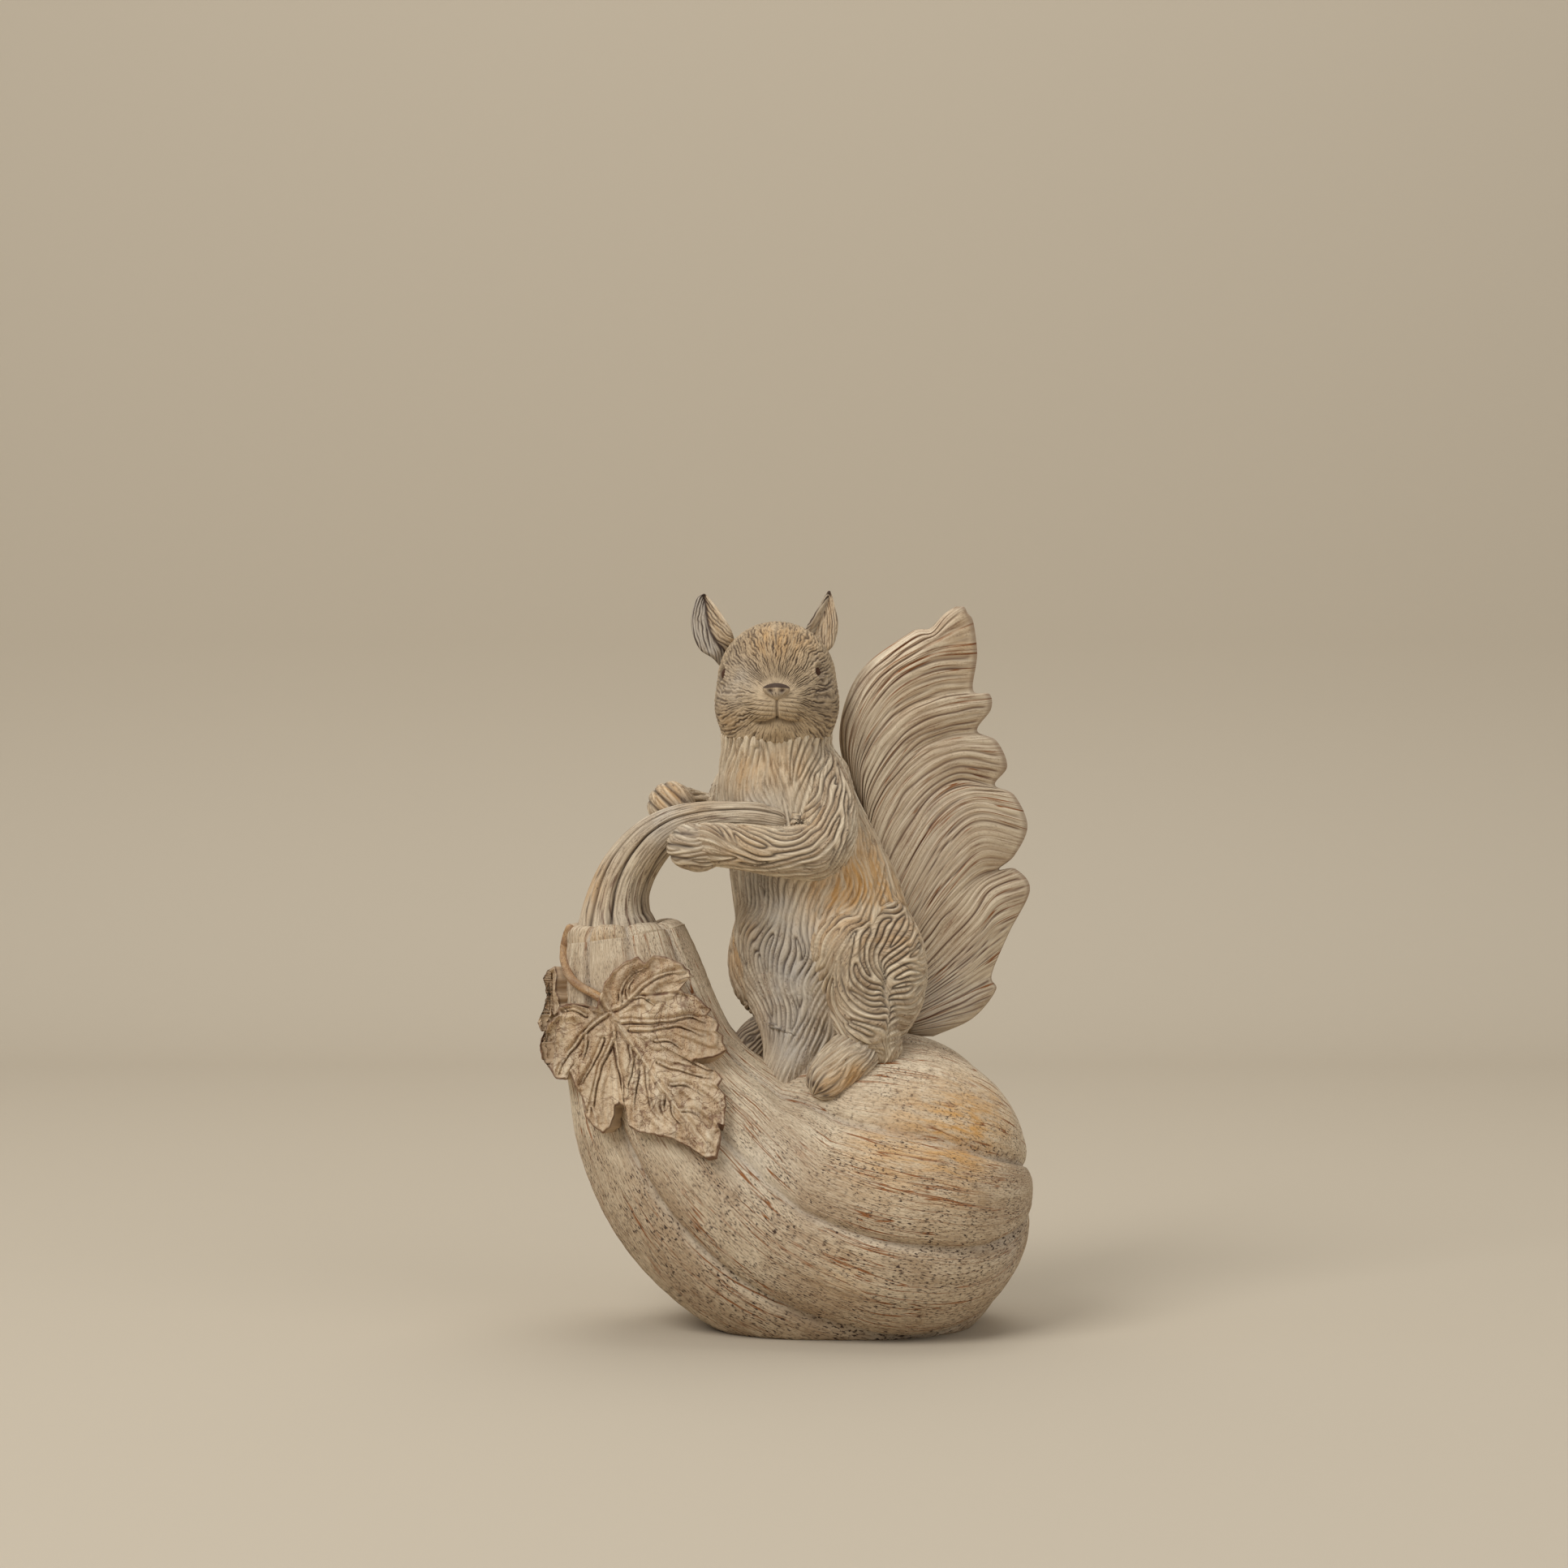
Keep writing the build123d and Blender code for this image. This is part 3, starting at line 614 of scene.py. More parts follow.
# a material: the weathered group fed by the piece's own flow coordinates, place and masks
def washedPaint(name, light, middle, wash, crack="rust", **values):
    material, tree, shader = newPaint(name)
    group = place(tree, "ShaderNodeGroup")
    group.node_tree = weathered
    for label, value in (("Light", light), ("Middle", middle), ("Wash", wash), ("Crack paint", crack)):
        group.inputs[label].default_value = paints[value]
    for label, value in values.items():
        group.inputs[label.replace("_", " ")].default_value = value
    flow = place(tree, "ShaderNodeUVMap", uv_map="flow")
    spot = place(tree, "ShaderNodeTexCoord")
    join(tree, (flow.outputs[0], group.inputs["Flow"]), (spot.outputs["Object"], group.inputs["Place"]))
    for label in ("groove", "tone", "stain", "frost"):
        mask = place(tree, "ShaderNodeAttribute", attribute_name=label)
        join(tree, (mask.outputs["Fac"], group.inputs[label.capitalize()]))
    relief = place(tree, "ShaderNodeBump", Strength=0.5, Distance=0.0006)
    join(
        tree,
        (group.outputs["Color"], shader.inputs["Base Color"]),
        (group.outputs["Roughness"], shader.inputs["Roughness"]),
        (group.outputs["Height"], relief.inputs["Height"]),
        (relief.outputs[0], shader.inputs["Normal"]),
    )
    return material


furPaint = washedPaint("furPaint", "bone", "tan", "umber", Streak_across=15.0, Streak_along=1.5)
facePaint = washedPaint(
    "facePaint", "sand", "moss", "umber", Streak_along=4.5, Streak_depth=0.85, Wash_strength=0.95
)
earPaint = washedPaint(
    "earPaint", "bone", "tan", "umber", Streak_along=3.0, Streak_depth=0.6, Wash_strength=0.95
)
plumePaint = washedPaint(
    "plumePaint", "bone", "tan", "rust", "orange", Streak_across=14.0, Streak_along=0.8, Streak_depth=0.5,
    Cracks=1.0, Crack_across=4.0, Crack_along=0.08,
)
gourdPaint = washedPaint(
    "gourdPaint", "bone", "tan", "umber", "orange", Streak_across=18.0, Streak_along=2.6, Streak_depth=0.3,
    Cracks=1.0, Crack_across=3.4, Crack_along=0.13, Stipple=1.0, Stipple_along=7.0,
)
stemPaint = washedPaint(
    "stemPaint", "bone", "tan", "umber", Streak_across=12.0, Streak_along=0.9, Streak_depth=0.65, Cracks=0.7,
    Crack_across=2.5, Crack_along=0.1,
)
leafPaint = washedPaint(
    "leafPaint", "bone", "tan", "rust", Streak_across=6.0, Streak_along=6.0, Streak_depth=0.35, Cracks=0.55,
    Crack_across=1.4, Crack_along=1.4, Stipple=0.75, Stipple_along=20.0,
)
darkPaint = washedPaint(
    "darkPaint", "pupil", "pupil", "pupil", Streak_across=8.0, Streak_along=8.0, Streak_depth=0.2
)


# the plug has no flow coordinates of its own, so its cloudy paint lies by place alone
def plugPaint():
    material, tree, shader = newPaint("plugPaint")
    spot = place(tree, "ShaderNodeTexCoord")
    cloudy = noiseOf(tree, spot.outputs["Object"], 160.0, 4.0, 0.6)
    grain = noiseOf(tree, spot.outputs["Object"], 1500.0, 2.0, 0.6)
    base = blendPaint(tree, remap(tree, cloudy, 0.35, 0.65), paints["tan"], paints["bone"])
    dotted = blendPaint(tree, remap(tree, grain, 0.56, 0.66, 0.0, 0.6), base, paints["umber"])
    join(tree, (dotted, shader.inputs["Base Color"]))
    shader.inputs["Roughness"].default_value = 0.85
    return material


report("paints")

gourdSizes = dict(
    lobes=8,
    lobeDepth=3.2,
    channelDepth=1.6,
    channelWidth=0.075,  # as a share of half a lobe
    rows=330,
    capRows=110,
    cols=298,
    reach=80.0,
    joined=8.0,  # over this gap the neck and the round end run into each other
    girth=46.0,  # mean radius, by which the flow coordinate grows with the angle
    plugSeat=15.4,  # radius of the hollow over the plug
    plugRoom=0.7,
    # centre X and Z and radius of the neck and belly
    spine=[
        (-75.97, 137.00, 20.1), (-72.85, 119.06, 25.0), (-69.15, 101.40, 28.5), (-64.33, 85.69, 31.6),
        (-56.94, 70.65, 36.7), (-44.73, 55.33, 41.8), (-29.82, 44.56, 45.7), (-14.20, 40.19, 49.0),
        (5.11, 42.04, 52.6),
    ],
    blossomEnd=((19.0, 0.0, 47.0), (47.3, 54.0, 55.0)),  # middle and half sizes of the round end
    # four points of the axis's bend
    axis=[(-75.97, 0, 137.0), (-67.0, 0, 74.0), (-5.0, -2.0, 42.0), (46.0, 22.0, 47.0)],
    # where the eight channels stand round the axis, in degrees, at shares of its length
    channels=[
        (0.00, -8, 37, 83, 130, 174, 217, 262, 307), (0.45, -4, 40, 86, 137, 184, 223, 268, 313),
        (0.60, 0, 48, 100, 153, 190.5, 224, 270, 316), (0.80, 2, 52, 106, 157, 190, 227, 272, 318),
        (1.00, 8, 58, 114, 166, 196, 232, 276, 322),
    ],
    # places, reaches and strengths of the washes
    stains=[
        (38, -40, 72, 16, 1.0), (50, -22, 78, 12, 0.6), (12, -48, 66, 14, 0.5), (30, -44, 55, 16, 0.25),
        (0, -48, 25, 10, 0.3), (-50, -30, 95, 12, 0.3),
    ],
    frosts=[(-30, -45, 62, 12, 0.3), (60, -25, 30, 12, 0.35)],
)


# distance to the gourd: the least over short cones along the neck and belly, merged with the round end
def gourdGap(p):
    rows = curveThrough(gourdSizes["spine"], 33)
    hose = np.full(p.shape[:-1], 1e9)
    for (xa, za, ra), (xb, zb, rb) in zip(rows[:-1], rows[1:]):
        hose = np.minimum(hose, coneGap(p, (xa, 0, za), (xb, 0, zb), ra, rb))
    return merge(ballGap(p, *gourdSizes["blossomEnd"]), hose, gourdSizes["joined"])


# rays round the bend's axis, which is the cubic curve of four control points. Between two channels of the
# table the turn round the axis runs evenly
def gourdRays():
    size = gourdSizes
    a, b, c, d = [np.array(v, float) for v in size["axis"]]
    t = np.linspace(0, 1, 200)[:, None]
    bend = a * (1 - t) ** 3 + 3 * b * t * (1 - t) ** 2 + 3 * c * t**2 * (1 - t) + d * t**3
    capRows, cols, lobes = counted(size["capRows"]), counted(size["cols"]), size["lobes"]
    path = evenCurve(bend, counted(size["rows"]) - capRows)
    level = np.arange(len(path) + capRows)
    table = np.array(size["channels"], float)
    share = np.clip(level / (len(path) - 1), 0, 1)
    knots = np.stack([np.interp(share, table[:, 0], table[:, k]) for k in range(1, lobes + 1)], axis=1)
    knots = np.concatenate([knots[:, -1:] - 360, knots, knots[:, :1] + 360], axis=1)
    at = np.degrees(np.arange(cols) / cols * 2 * math.pi) / (360 / lobes) + 0.5
    k = np.clip(np.floor(at).astype(int), 0, lobes)
    turned = np.radians(knots[level[:, None], k] * (1 - at + k) + knots[level[:, None], k + 1] * (at - k))
    return tubeRays(path, (0, 1, 0), cols, 0, capRows, turned)


# how far a place round the gourd is from its lobe's crest: 0 on the crest and 1 in the channel
def crestGap(angle):
    return np.abs(2 * fraction(angle / (2 * math.pi) * gourdSizes["lobes"] + 0.5) - 1)


centres, ways, lobeAngle = gourdRays()
grid = cast(centres, ways, gourdGap, gourdSizes["reach"])
radius = np.linalg.norm(grid - centres, axis=-1)
toEnd = np.linalg.norm(grid - grid[-1].mean(axis=0), axis=-1)
fromCrest = crestGap(lobeAngle)
channel = hill(1 - fromCrest, gourdSizes["channelWidth"] * np.clip(50 / radius, 1, 3))
run = rowRun(grid)
crease = ripple(lobeAngle * 12, run / 45, 11) + 0.5 * ripple(lobeAngle * 30, run / 30, 12)
drop = gourdSizes["lobeDepth"] * (0.7 * fromCrest**2.5 + 0.3 * fromCrest**8)
drop = drop + gourdSizes["channelDepth"] * channel
# the lobes fade towards the neck and the blossom end, where the skin dips
drop = drop * np.clip(np.minimum(radius, toEnd * 1.6) / 48, 0.15, 1) + 7.0 * hill(toEnd, 9.0)
grid = grid + normalsOf(grid) * (0.3 * crease * smooth(0, 12, run) - drop + 0.6)[..., None]
# the foot is flat, and a little hollow over the plug
foot = np.where(np.hypot(grid[..., 0], grid[..., 1]) < gourdSizes["plugSeat"], gourdSizes["plugRoom"], 0.0)
grid[..., 2] = np.where(grid[..., 2] < 0, foot, grid[..., 2])
neckTop, neckWay, neckRing = centres[0, 0], unit(centres[1, 0] - centres[0, 0]), grid[0]
gourd = Shell()
gourd.add(
    grid,
    lobeAngle * gourdSizes["girth"],
    run,
    groove=0.05 * channel,
    tone=held(0.12 + 0.7 * smooth(30, 80, grid[..., 2]) + 0.35 * crease),
    stain=patches(grid, gourdSizes["stains"]),
    frost=patches(grid, gourdSizes["frosts"]) + 0.4 * channel,
)
gourd.build("gourdBody", "gourd_shell", gourdPaint)

squirrelSizes = dict(
    seat=(-9.94, 0.0, 83.74),
    height=163.0,
    torsoRadius=28.0,
    headRadius=20.5,
    # centre of each torso section as a share of the height, then its half widths as shares of the radius
    torso=[
        (-0.032, -0.030, -0.060, 0.36, 0.36), (-0.030, -0.030, 0.025, 0.46, 0.46),
        (0.006, -0.018, 0.084, 0.66, 0.63), (0.032, 0.000, 0.188, 0.95, 0.88),
        (0.026, 0.000, 0.310, 1.06, 0.98), (0.006, -0.006, 0.432, 1.04, 0.97),
        (-0.021, -0.012, 0.520, 0.95, 0.91), (-0.052, -0.018, 0.607, 0.87, 0.84),
        (-0.068, -0.031, 0.676, 0.77, 0.75), (-0.078, -0.043, 0.732, 0.66, 0.66),
        (-0.078, -0.049, 0.800, 0.54, 0.54),
    ],
    head=(-0.078, -0.049, 0.871),
    # the head's balls, their middles and half sizes, as shares of its radius, and the gap that rounds
    # their joints
    headForms=[
        (0.00, 0.00, 0.00, 1.00, 1.00, 1.00), (-0.37, -0.20, -0.44, 0.68, 0.74, 0.64),
        (0.37, -0.20, -0.44, 0.68, 0.74, 0.64), (0.00, -0.74, -0.42, 0.56, 0.56, 0.43),
        (0.00, -0.48, -0.76, 0.50, 0.50, 0.34),
    ],
    headJoined=4.0,
    eyes=[(0.66, -0.66, 0.11), (-0.87, -0.42, 0.08)],
)


# a place on the squirrel: its seat, and shares of its height
def onSquirrel(share):
    return np.array(squirrelSizes["seat"]) + np.array(share[:3]) * squirrelSizes["height"]


headMiddle = onSquirrel(squirrelSizes["head"])


# a place on the head: its middle, and shares of its radius
def onHead(share):
    return headMiddle + np.array(share[:3]) * squirrelSizes["headRadius"]


torsoRadius = squirrelSizes["torsoRadius"]
torsoRows = [(*onSquirrel(row), row[3] * torsoRadius, row[4] * torsoRadius) for row in squirrelSizes["torso"]]
torsoCurve = curveThrough(torsoRows, 200)


# distance to the torso: at each height the scaled distance from the section's centre, less one, times its
# half width
def torsoGap(p):
    z = p[..., 2]
    x, y, rx, ry = [np.interp(z, torsoCurve[:, 2], torsoCurve[:, k]) for k in (0, 1, 3, 4)]
    gap = (np.hypot((p[..., 0] - x) / rx, (p[..., 1] - y) / ry) - 1) * np.minimum(rx, ry)
    return np.maximum(gap, np.maximum(torsoCurve[0, 2] - z, z - torsoCurve[-1, 2]))


# distance to the head: its balls, merged one after the other
def headGap(p):
    size, gap = squirrelSizes, None
    for form in size["headForms"]:
        ball = ballGap(p, onHead(form), np.array(form[3:]) * size["headRadius"])
        gap = ball if gap is None else merge(gap, ball, size["headJoined"])
    return gap


# what the pieces of fur have in common: the hair's direction along the columns, how far an arrow is
# heard, the spots of pale paint, of painted shade, and of stained and frosted paint. A spot of the picture
# comes with a depth, a reach and a strength
plainFur = dict(onward=1.0, heard=3.4, arrows=[], pale=[], paintedShade=[], stains=[], frosts=[])

legStains = [(1040, 1150, -26, 10, 0.6), (1110, 1160, -16, 10, 0.5), (905, 1150, -8, 14, 0.9)]
legHair = dict(pitch=2.1, run=7.0, cut=0.42, depth=0.8)
legSizes = dict(
    near=dict(
        plainFur,
        names=("squirrelLegNear", "thigh_left", "legNear"),
        haunch=((13.4, -11.4, 124.5), (16.0, 16.5, 25.0)),  # middle and half sizes
        # ends and radii of the knee's and the shin's cone
        cones=[
            ((0.5, -24.5, 134.0), (8.5, -25.0, 108.0), 11.0, 9.5),
            ((8.5, -25.0, 108.0), (13.0, -23.0, 100.0), 9.5, 7.5),
        ],
        core=((10, -14, 138), (9.5, -19, 106)),  # ends of the line that the rays leave
        reach=34.0,
        fold=0.4,
        # how the hair runs over the front bulge into the fold, and across the haunch to it: spots of the
        # picture, and degrees clockwise from the right
        arrows=[
            (1029, 1167, 165), (1016, 1180, 118), (1015, 1194, 92), (1034, 1194, 65), (1042, 1202, 50),
            (1050, 1194, 75), (1058, 1207, 45), (1066, 1213, 25), (1079, 1213, 8), (1050, 1220, 18),
            (1066, 1226, 5), (1082, 1226, 10), (1042, 1229, 32), (1058, 1239, 15), (1079, 1242, 6),
            (1050, 1252, 28), (1066, 1255, 18), (1082, 1258, 30), (1066, 1266, 18), (1079, 1271, 25),
            (1026, 1226, 82), (1034, 1250, 58), (1044, 1266, 40), (1058, 1274, 20), (1018, 1210, 90),
            (1050, 1170, 95), (1063, 1175, 100), (1071, 1178, 95), (1056, 1162, 110), (1074, 1154, 140),
            (1074, 1194, 70), (1082, 1202, 30), (1080, 1128, 165), (1050, 1138, 155), (1026, 1152, 135),
            (1014, 1166, 110), (1100, 1126, 150), (1090, 1154, 105), (1082, 1167, 112), (1106, 1170, 150),
            (1106, 1181, 165), (1106, 1194, 158), (1101, 1218, 148), (1106, 1239, 168), (1106, 1255, 180),
            (1098, 1263, 178), (1114, 1149, 120), (1122, 1162, 130), (1127, 1194, 150), (1127, 1218, 160),
        ],
        hair=legHair,
        seed=41,
        stains=legStains,
    ),
    far=dict(
        plainFur,
        names=("squirrelLegFar", "thigh_right", "legFar"),
        haunch=((-26.9, 7.5, 127.4), (12.9, 14.6, 19.6)),
        cones=[],
        core=((-27, 7, 134), (-27, 7, 118)),
        reach=28.0,
        fold=0.0,
        arrows=[(900, 1160, 100), (904, 1200, 78), (912, 1240, 62)],
        hair=legHair,
        seed=45,
        stains=legStains,
    ),
    rows=110,
    cols=270,
    capRows=56,
)


# distance to a hind leg: the haunch's ball, merged with the knee's and the shin's cones
def legGap(p, which):
    size = legSizes[which]
    gap = ballGap(p, *size["haunch"])
    if size["cones"]:
        knee, shin = [coneGap(p, *cone) for cone in size["cones"]]
        gap = merge(gap, merge(knee, shin, 4.0), 2.5)
    return gap


armHair = dict(pitch=1.95, run=8.0, cut=0.4, depth=0.8)
armStains = [(1000, 1030, -28, 8, 0.5), (920, 1040, -36, 8, 0.45)]
armSizes = dict(
    near=dict(
        plainFur,
        names=("squirrelArmNear", "arm_left", "armNear"),
        # from the shoulder to the wrist: places and radii
        path=[
            (-6.0, -12.0, 192.0, 8.5), (-5.5, -17.5, 183.0, 10.0), (-5.5, -25.0, 172.0, 9.8),
            (-10.0, -30.0, 167.0, 9.3), (-20.0, -32.5, 166.5, 8.6), (-32.0, -33.0, 168.0, 7.8),
            (-46.0, -32.0, 169.5, 7.0),
        ],
        # how the hair runs down the upper arm, round the elbow and slanting along the forearm
        arrows=[
            (1010, 950, 105), (998, 980, 125), (974, 1004, 150), (990, 986, 128), (1018, 990, 105),
            (1014, 1012, 100), (1008, 1028, 110), (990, 1012, 135), (978, 1028, 180), (998, 1028, 150),
            (994, 1044, 150), (1006, 1052, 120), (994, 1064, 160), (980, 1040, 178), (960, 1032, 195),
            (946, 1040, 205), (960, 1052, 185), (930, 1036, 215), (910, 1028, 225), (920, 1048, 210),
            (896, 1036, 222), (890, 1020, 215), (950, 1066, 183), (920, 1064, 180), (890, 1058, 180),
            (882, 1040, 215), (990, 1076, 175), (936, 1024, 190),
        ],
        hair=armHair,
        seed=51,
        stains=armStains,
    ),
    far=dict(
        plainFur,
        names=("squirrelArmFar", "arm_right", "armFar"),
        path=[
            (-34.0, 6.0, 192.0, 8.0), (-37.0, 9.0, 186.0, 9.0), (-38.0, 14.0, 177.0, 8.6),
            (-43.0, 15.0, 176.0, 8.0), (-52.0, 9.0, 180.0, 7.4), (-58.0, 3.0, 182.0, 7.0),
        ],
        hair=armHair,
        seed=55,
        stains=armStains,
    ),
    rows=170,
    cols=160,
    capRows=(30, 20),
    reach=16.0,
    spare=1.5,
)


# distance to an arm: the least over short cones along it
def armGap(p, which):
    rows = curveThrough(armSizes[which]["path"], 15)
    return np.min([coneGap(p, a[:3], b[:3], a[3], b[3]) for a, b in zip(rows[:-1], rows[1:])], axis=0)


# gaps to each fleshy part by name, and over what gap it runs into the others
fleshGaps = dict(
    torso=torsoGap,
    head=headGap,
    legNear=lambda p: legGap(p, "near"),
    legFar=lambda p: legGap(p, "far"),
    armNear=lambda p: armGap(p, "near"),
    armFar=lambda p: armGap(p, "far"),
)
blends = dict(head=7.0, legNear=5.0, legFar=5.0, armNear=4.0, armFar=4.0)


# the skin of one part: rays run to the blended surface of all parts, but only a little beyond the part's
# own shape. Where another part is nearer, the skin sinks under it. Also gives how far it shows, from 0 to
# 1
def skinOf(name, centres, ways, reach, spare=2.5):
    def gap(p):
        gaps = {label: form(p) for label, form in fleshGaps.items()}
        whole = gaps["torso"]
        for label, width in blends.items():
            whole = merge(whole, gaps[label], width)
        return np.maximum(whole, gaps[name] - spare)

    grid = cast(centres, ways, gap, reach)
    own = fleshGaps[name](grid)
    rival = np.min([form(grid) for label, form in fleshGaps.items() if label != name], axis=0)
    under = smooth(-0.3, 2.2, own - rival)
    return grid - normalsOf(grid) * (1.8 * under)[..., None], 1 - under


# combs a skin, raises it by a share of its hair and a lift, paints it and hands it over. Wash turns the
# hair's grooves into the dark mask
def furPiece(name, node, grid, size, share, lift, wash):
    across, along, way = combed(grid, size["arrows"], size["onward"], size["heard"])
    height, groove, own = wisps(grid, way, size["hair"], size["seed"])
    grid = grid + normalsOf(grid) * (height * share + lift)[..., None]
    pale = marks(grid, size["pale"])
    piece = Shell()
    piece.add(
        grid,
        across,
        along,
        # painted shade: these spots add a flat darkening to the dark wash mask
        groove=wash(groove) * (1 - 0.65 * np.minimum(pale, 1)) + 0.12 * marks(grid, size["paintedShade"]),
        tone=own + pale,
        stain=marks(grid, size["stains"]),
        frost=marks(grid, size["frosts"]),
    )
    piece.build(name, node, furPaint)


torsoSizes = dict(
    plainFur,
    rows=300,
    cols=330,
    reach=40.0,
    tufts=7,
    tuftHeight=0.5,  # they stand on the solid as well
    # how the hair runs over the chest, side and belly
    arrows=[
        (910, 940, 110), (906, 956, 115), (900, 970, 98), (900, 984, 80), (930, 936, 105), (926, 960, 95),
        (936, 990, 62), (950, 940, 88), (954, 960, 80), (950, 984, 60), (974, 940, 98), (970, 964, 95),
        (964, 986, 105), (990, 930, 115), (994, 950, 118), (1034, 940, 65), (1042, 980, 85),
        (1034, 1012, 95), (1050, 1024, 80), (1062, 1040, 85), (1080, 1030, 62), (1094, 1056, 62),
        (1042, 1052, 105), (1026, 1072, 125), (1010, 1090, 128), (998, 1116, 115), (998, 1140, 100),
        (1058, 1076, 90), (1050, 1100, 118), (1034, 1116, 135), (1070, 1080, 80), (1086, 1088, 95),
        (1080, 1110, 140), (1106, 1090, 75), (1116, 1120, 82), (1128, 1150, 85), (982, 1092, 108),
        (974, 1120, 95), (914, 1090, 85), (936, 1100, 88), (954, 1110, 95), (930, 1140, 105),
        (922, 1146, 112), (943, 1154, 108), (933, 1178, 95), (946, 1183, 100), (962, 1178, 130),
        (986, 1154, 92), (999, 1162, 92), (994, 1186, 122), (973, 1202, 115), (959, 1207, 88),
        (943, 1210, 75), (986, 1226, 98), (967, 1226, 70), (981, 1242, 98), (930, 1220, 62),
        (957, 1245, 78), (996, 1261, 118), (1005, 1284, 95), (914, 1178, 82), (919, 1210, 62),
    ],
    onward=-1.0,
    heard=4.5,
    hair=dict(pitch=2.1, run=9.0, cut=0.42, depth=0.8),
    seed=21,
    pale=[(945, 960, -22, 15, 1.2), (1045, 1080, -20, 18, 1.2), (990, 1110, -26, 11, 0.6)],
    # painted shade on the belly: patches that darken its lower middle
    paintedShade=[(955, 1185, -28, 16, 1.0), (930, 1120, -22, 10, 0.7)],
    stains=[
        (1060, 1080, -20, 15, 0.9), (1020, 1110, -24, 10, 0.7), (914, 1148, -16, 5, 1.0),
        (925, 950, -20, 8, 0.6), (1105, 1120, -10, 10, 0.5), (975, 945, -22, 7, 0.5),
    ],
    frosts=[
        (950, 1150, -28, 16, 0.9), (960, 1220, -28, 16, 0.9), (985, 1290, -20, 12, 1.0),
        (940, 1000, -22, 8, 0.9), (1040, 960, -12, 9, 0.5), (930, 1090, -22, 9, 0.7),
    ],
)
path = evenCurve(np.array(torsoRows)[:, :3], counted(torsoSizes["rows"]))
centres, ways, angle = tubeRays(path, (0, 1, 0), counted(torsoSizes["cols"]))
grid, shown = skinOf("torso", centres, ways, torsoSizes["reach"])
tuft = 1 - 2 * (2 * fraction(angle / (2 * math.pi) * torsoSizes["tufts"] + 0.5) - 1) ** 2
grid = grid + normalsOf(grid) * (torsoSizes["tuftHeight"] * tuft * shown)[..., None]
# the hair is softer low on the belly, and fades at the lower end
soft = (1 - 0.55 * smooth(118, 92, grid[..., 2]) * (grid[..., 0] < 2)) * smooth(0, 6, rowRun(grid))
furPiece("squirrelTorso", "torso", grid, torsoSizes, soft, 0.0, lambda groove: groove * soft)

faceSizes = dict(
    core=((0.0, -6.0, -1.5), (0.0, 5.0, 1.2)),  # ends of the line that the rays leave, from the head's middle
    rows=30,
    cols=380,
    capRows=(130, 90),
    reach=40.0,
    girth=18.5,  # mean radius
    nose=(-22.8, -34.0, 221.0),
    mouth=(-22.6, 211.6),  # X and Z
    # X and Z of the whisker pads, their height and width, and the pitch and slant of the rows of dots on
    # them
    pads=[(-27.6, 215.2), (-17.4, 215.6)],
    padHeight=1.3,
    padWidth=3.8,
    padPitch=1.45,
    padSlant=0.10,
    eyes=[onHead(share) for share in squirrelSizes["eyes"]],
    hair=dict(pitch=1.15, sway=1.2, swayWidth=5.0, swayLength=8.0, run=3.2, cut=0.25, depth=0.45),
    seed=31,
    calm=[(915, 845, -22, 6, 1.0), (895, 850, -12, 5, 1.0)],
    shade=[(1005, 865, -20, 9, 1.0), (893, 875, -14, 8, 0.7), (955, 800, -26, 9, 0.4)],
    stains=[(950, 785, -24, 9, 0.55), (985, 790, -20, 7, 0.35), (900, 885, -20, 6, 0.3)],
    frosts=[(915, 840, -22, 7, 0.6), (900, 860, -16, 7, 0.3), (1000, 840, -18, 6, 0.4)],
)
face = faceSizes
path = np.linspace(*[headMiddle + np.array(end) for end in face["core"]], counted(face["rows"]))
centres, ways, angle = tubeRays(path, (1, 0, 0), counted(face["cols"]), *map(counted, face["capRows"]))
grid, shown = skinOf("head", centres, ways, face["reach"])
x, z = grid[..., 0], grid[..., 2]
normal = normalsOf(grid)
front = smooth(0.15, 0.5, -normal[..., 1])
lift, dark = np.zeros(x.shape), np.zeros(x.shape)
mouthX, mouthZ = face["mouth"]
for padX, padZ in face["pads"]:
    away = np.hypot((x - padX) / 1.15, z - padZ)
    lift += front * face["padHeight"] * hill(away, face["padWidth"])
    slanted = z - padZ + face["padSlant"] * (x - mouthX)
    lines = hill(np.abs((slanted / face["padPitch"]) % 1 - 0.5), 0.16) * smooth(4.6, 3.2, away)
    dark += front * 0.55 * lines
    lift -= front * 0.3 * lines
# the mouth is a bow, lowest at its ends, with a seam from its middle to the nose
mouthLine = mouthZ - 1.6 * (1 - hill(x - mouthX, 3.2)) + 0.012 * (x - mouthX) ** 2
mouthCut = front * hill(z - mouthLine, 0.75) * smooth(10.5, 5.0, np.abs(x - mouthX))
seamCut = front * hill(x - mouthX, 0.55) * smooth(mouthZ - 0.5, mouthZ + 0.5, z) * smooth(219.5, 217.5, z)
lift -= 1.2 * mouthCut + 0.8 * seamCut
dark += 0.6 * mouthCut + 0.6 * seamCut
lip = hill(np.hypot(x - mouthX, z - mouthZ + 2.2), 1.7)
chin = hill(np.hypot((x - mouthX) / 3.0, z - mouthZ + 4.2), 2.0)
lift += front * (0.9 * lip + 0.8 * chin)
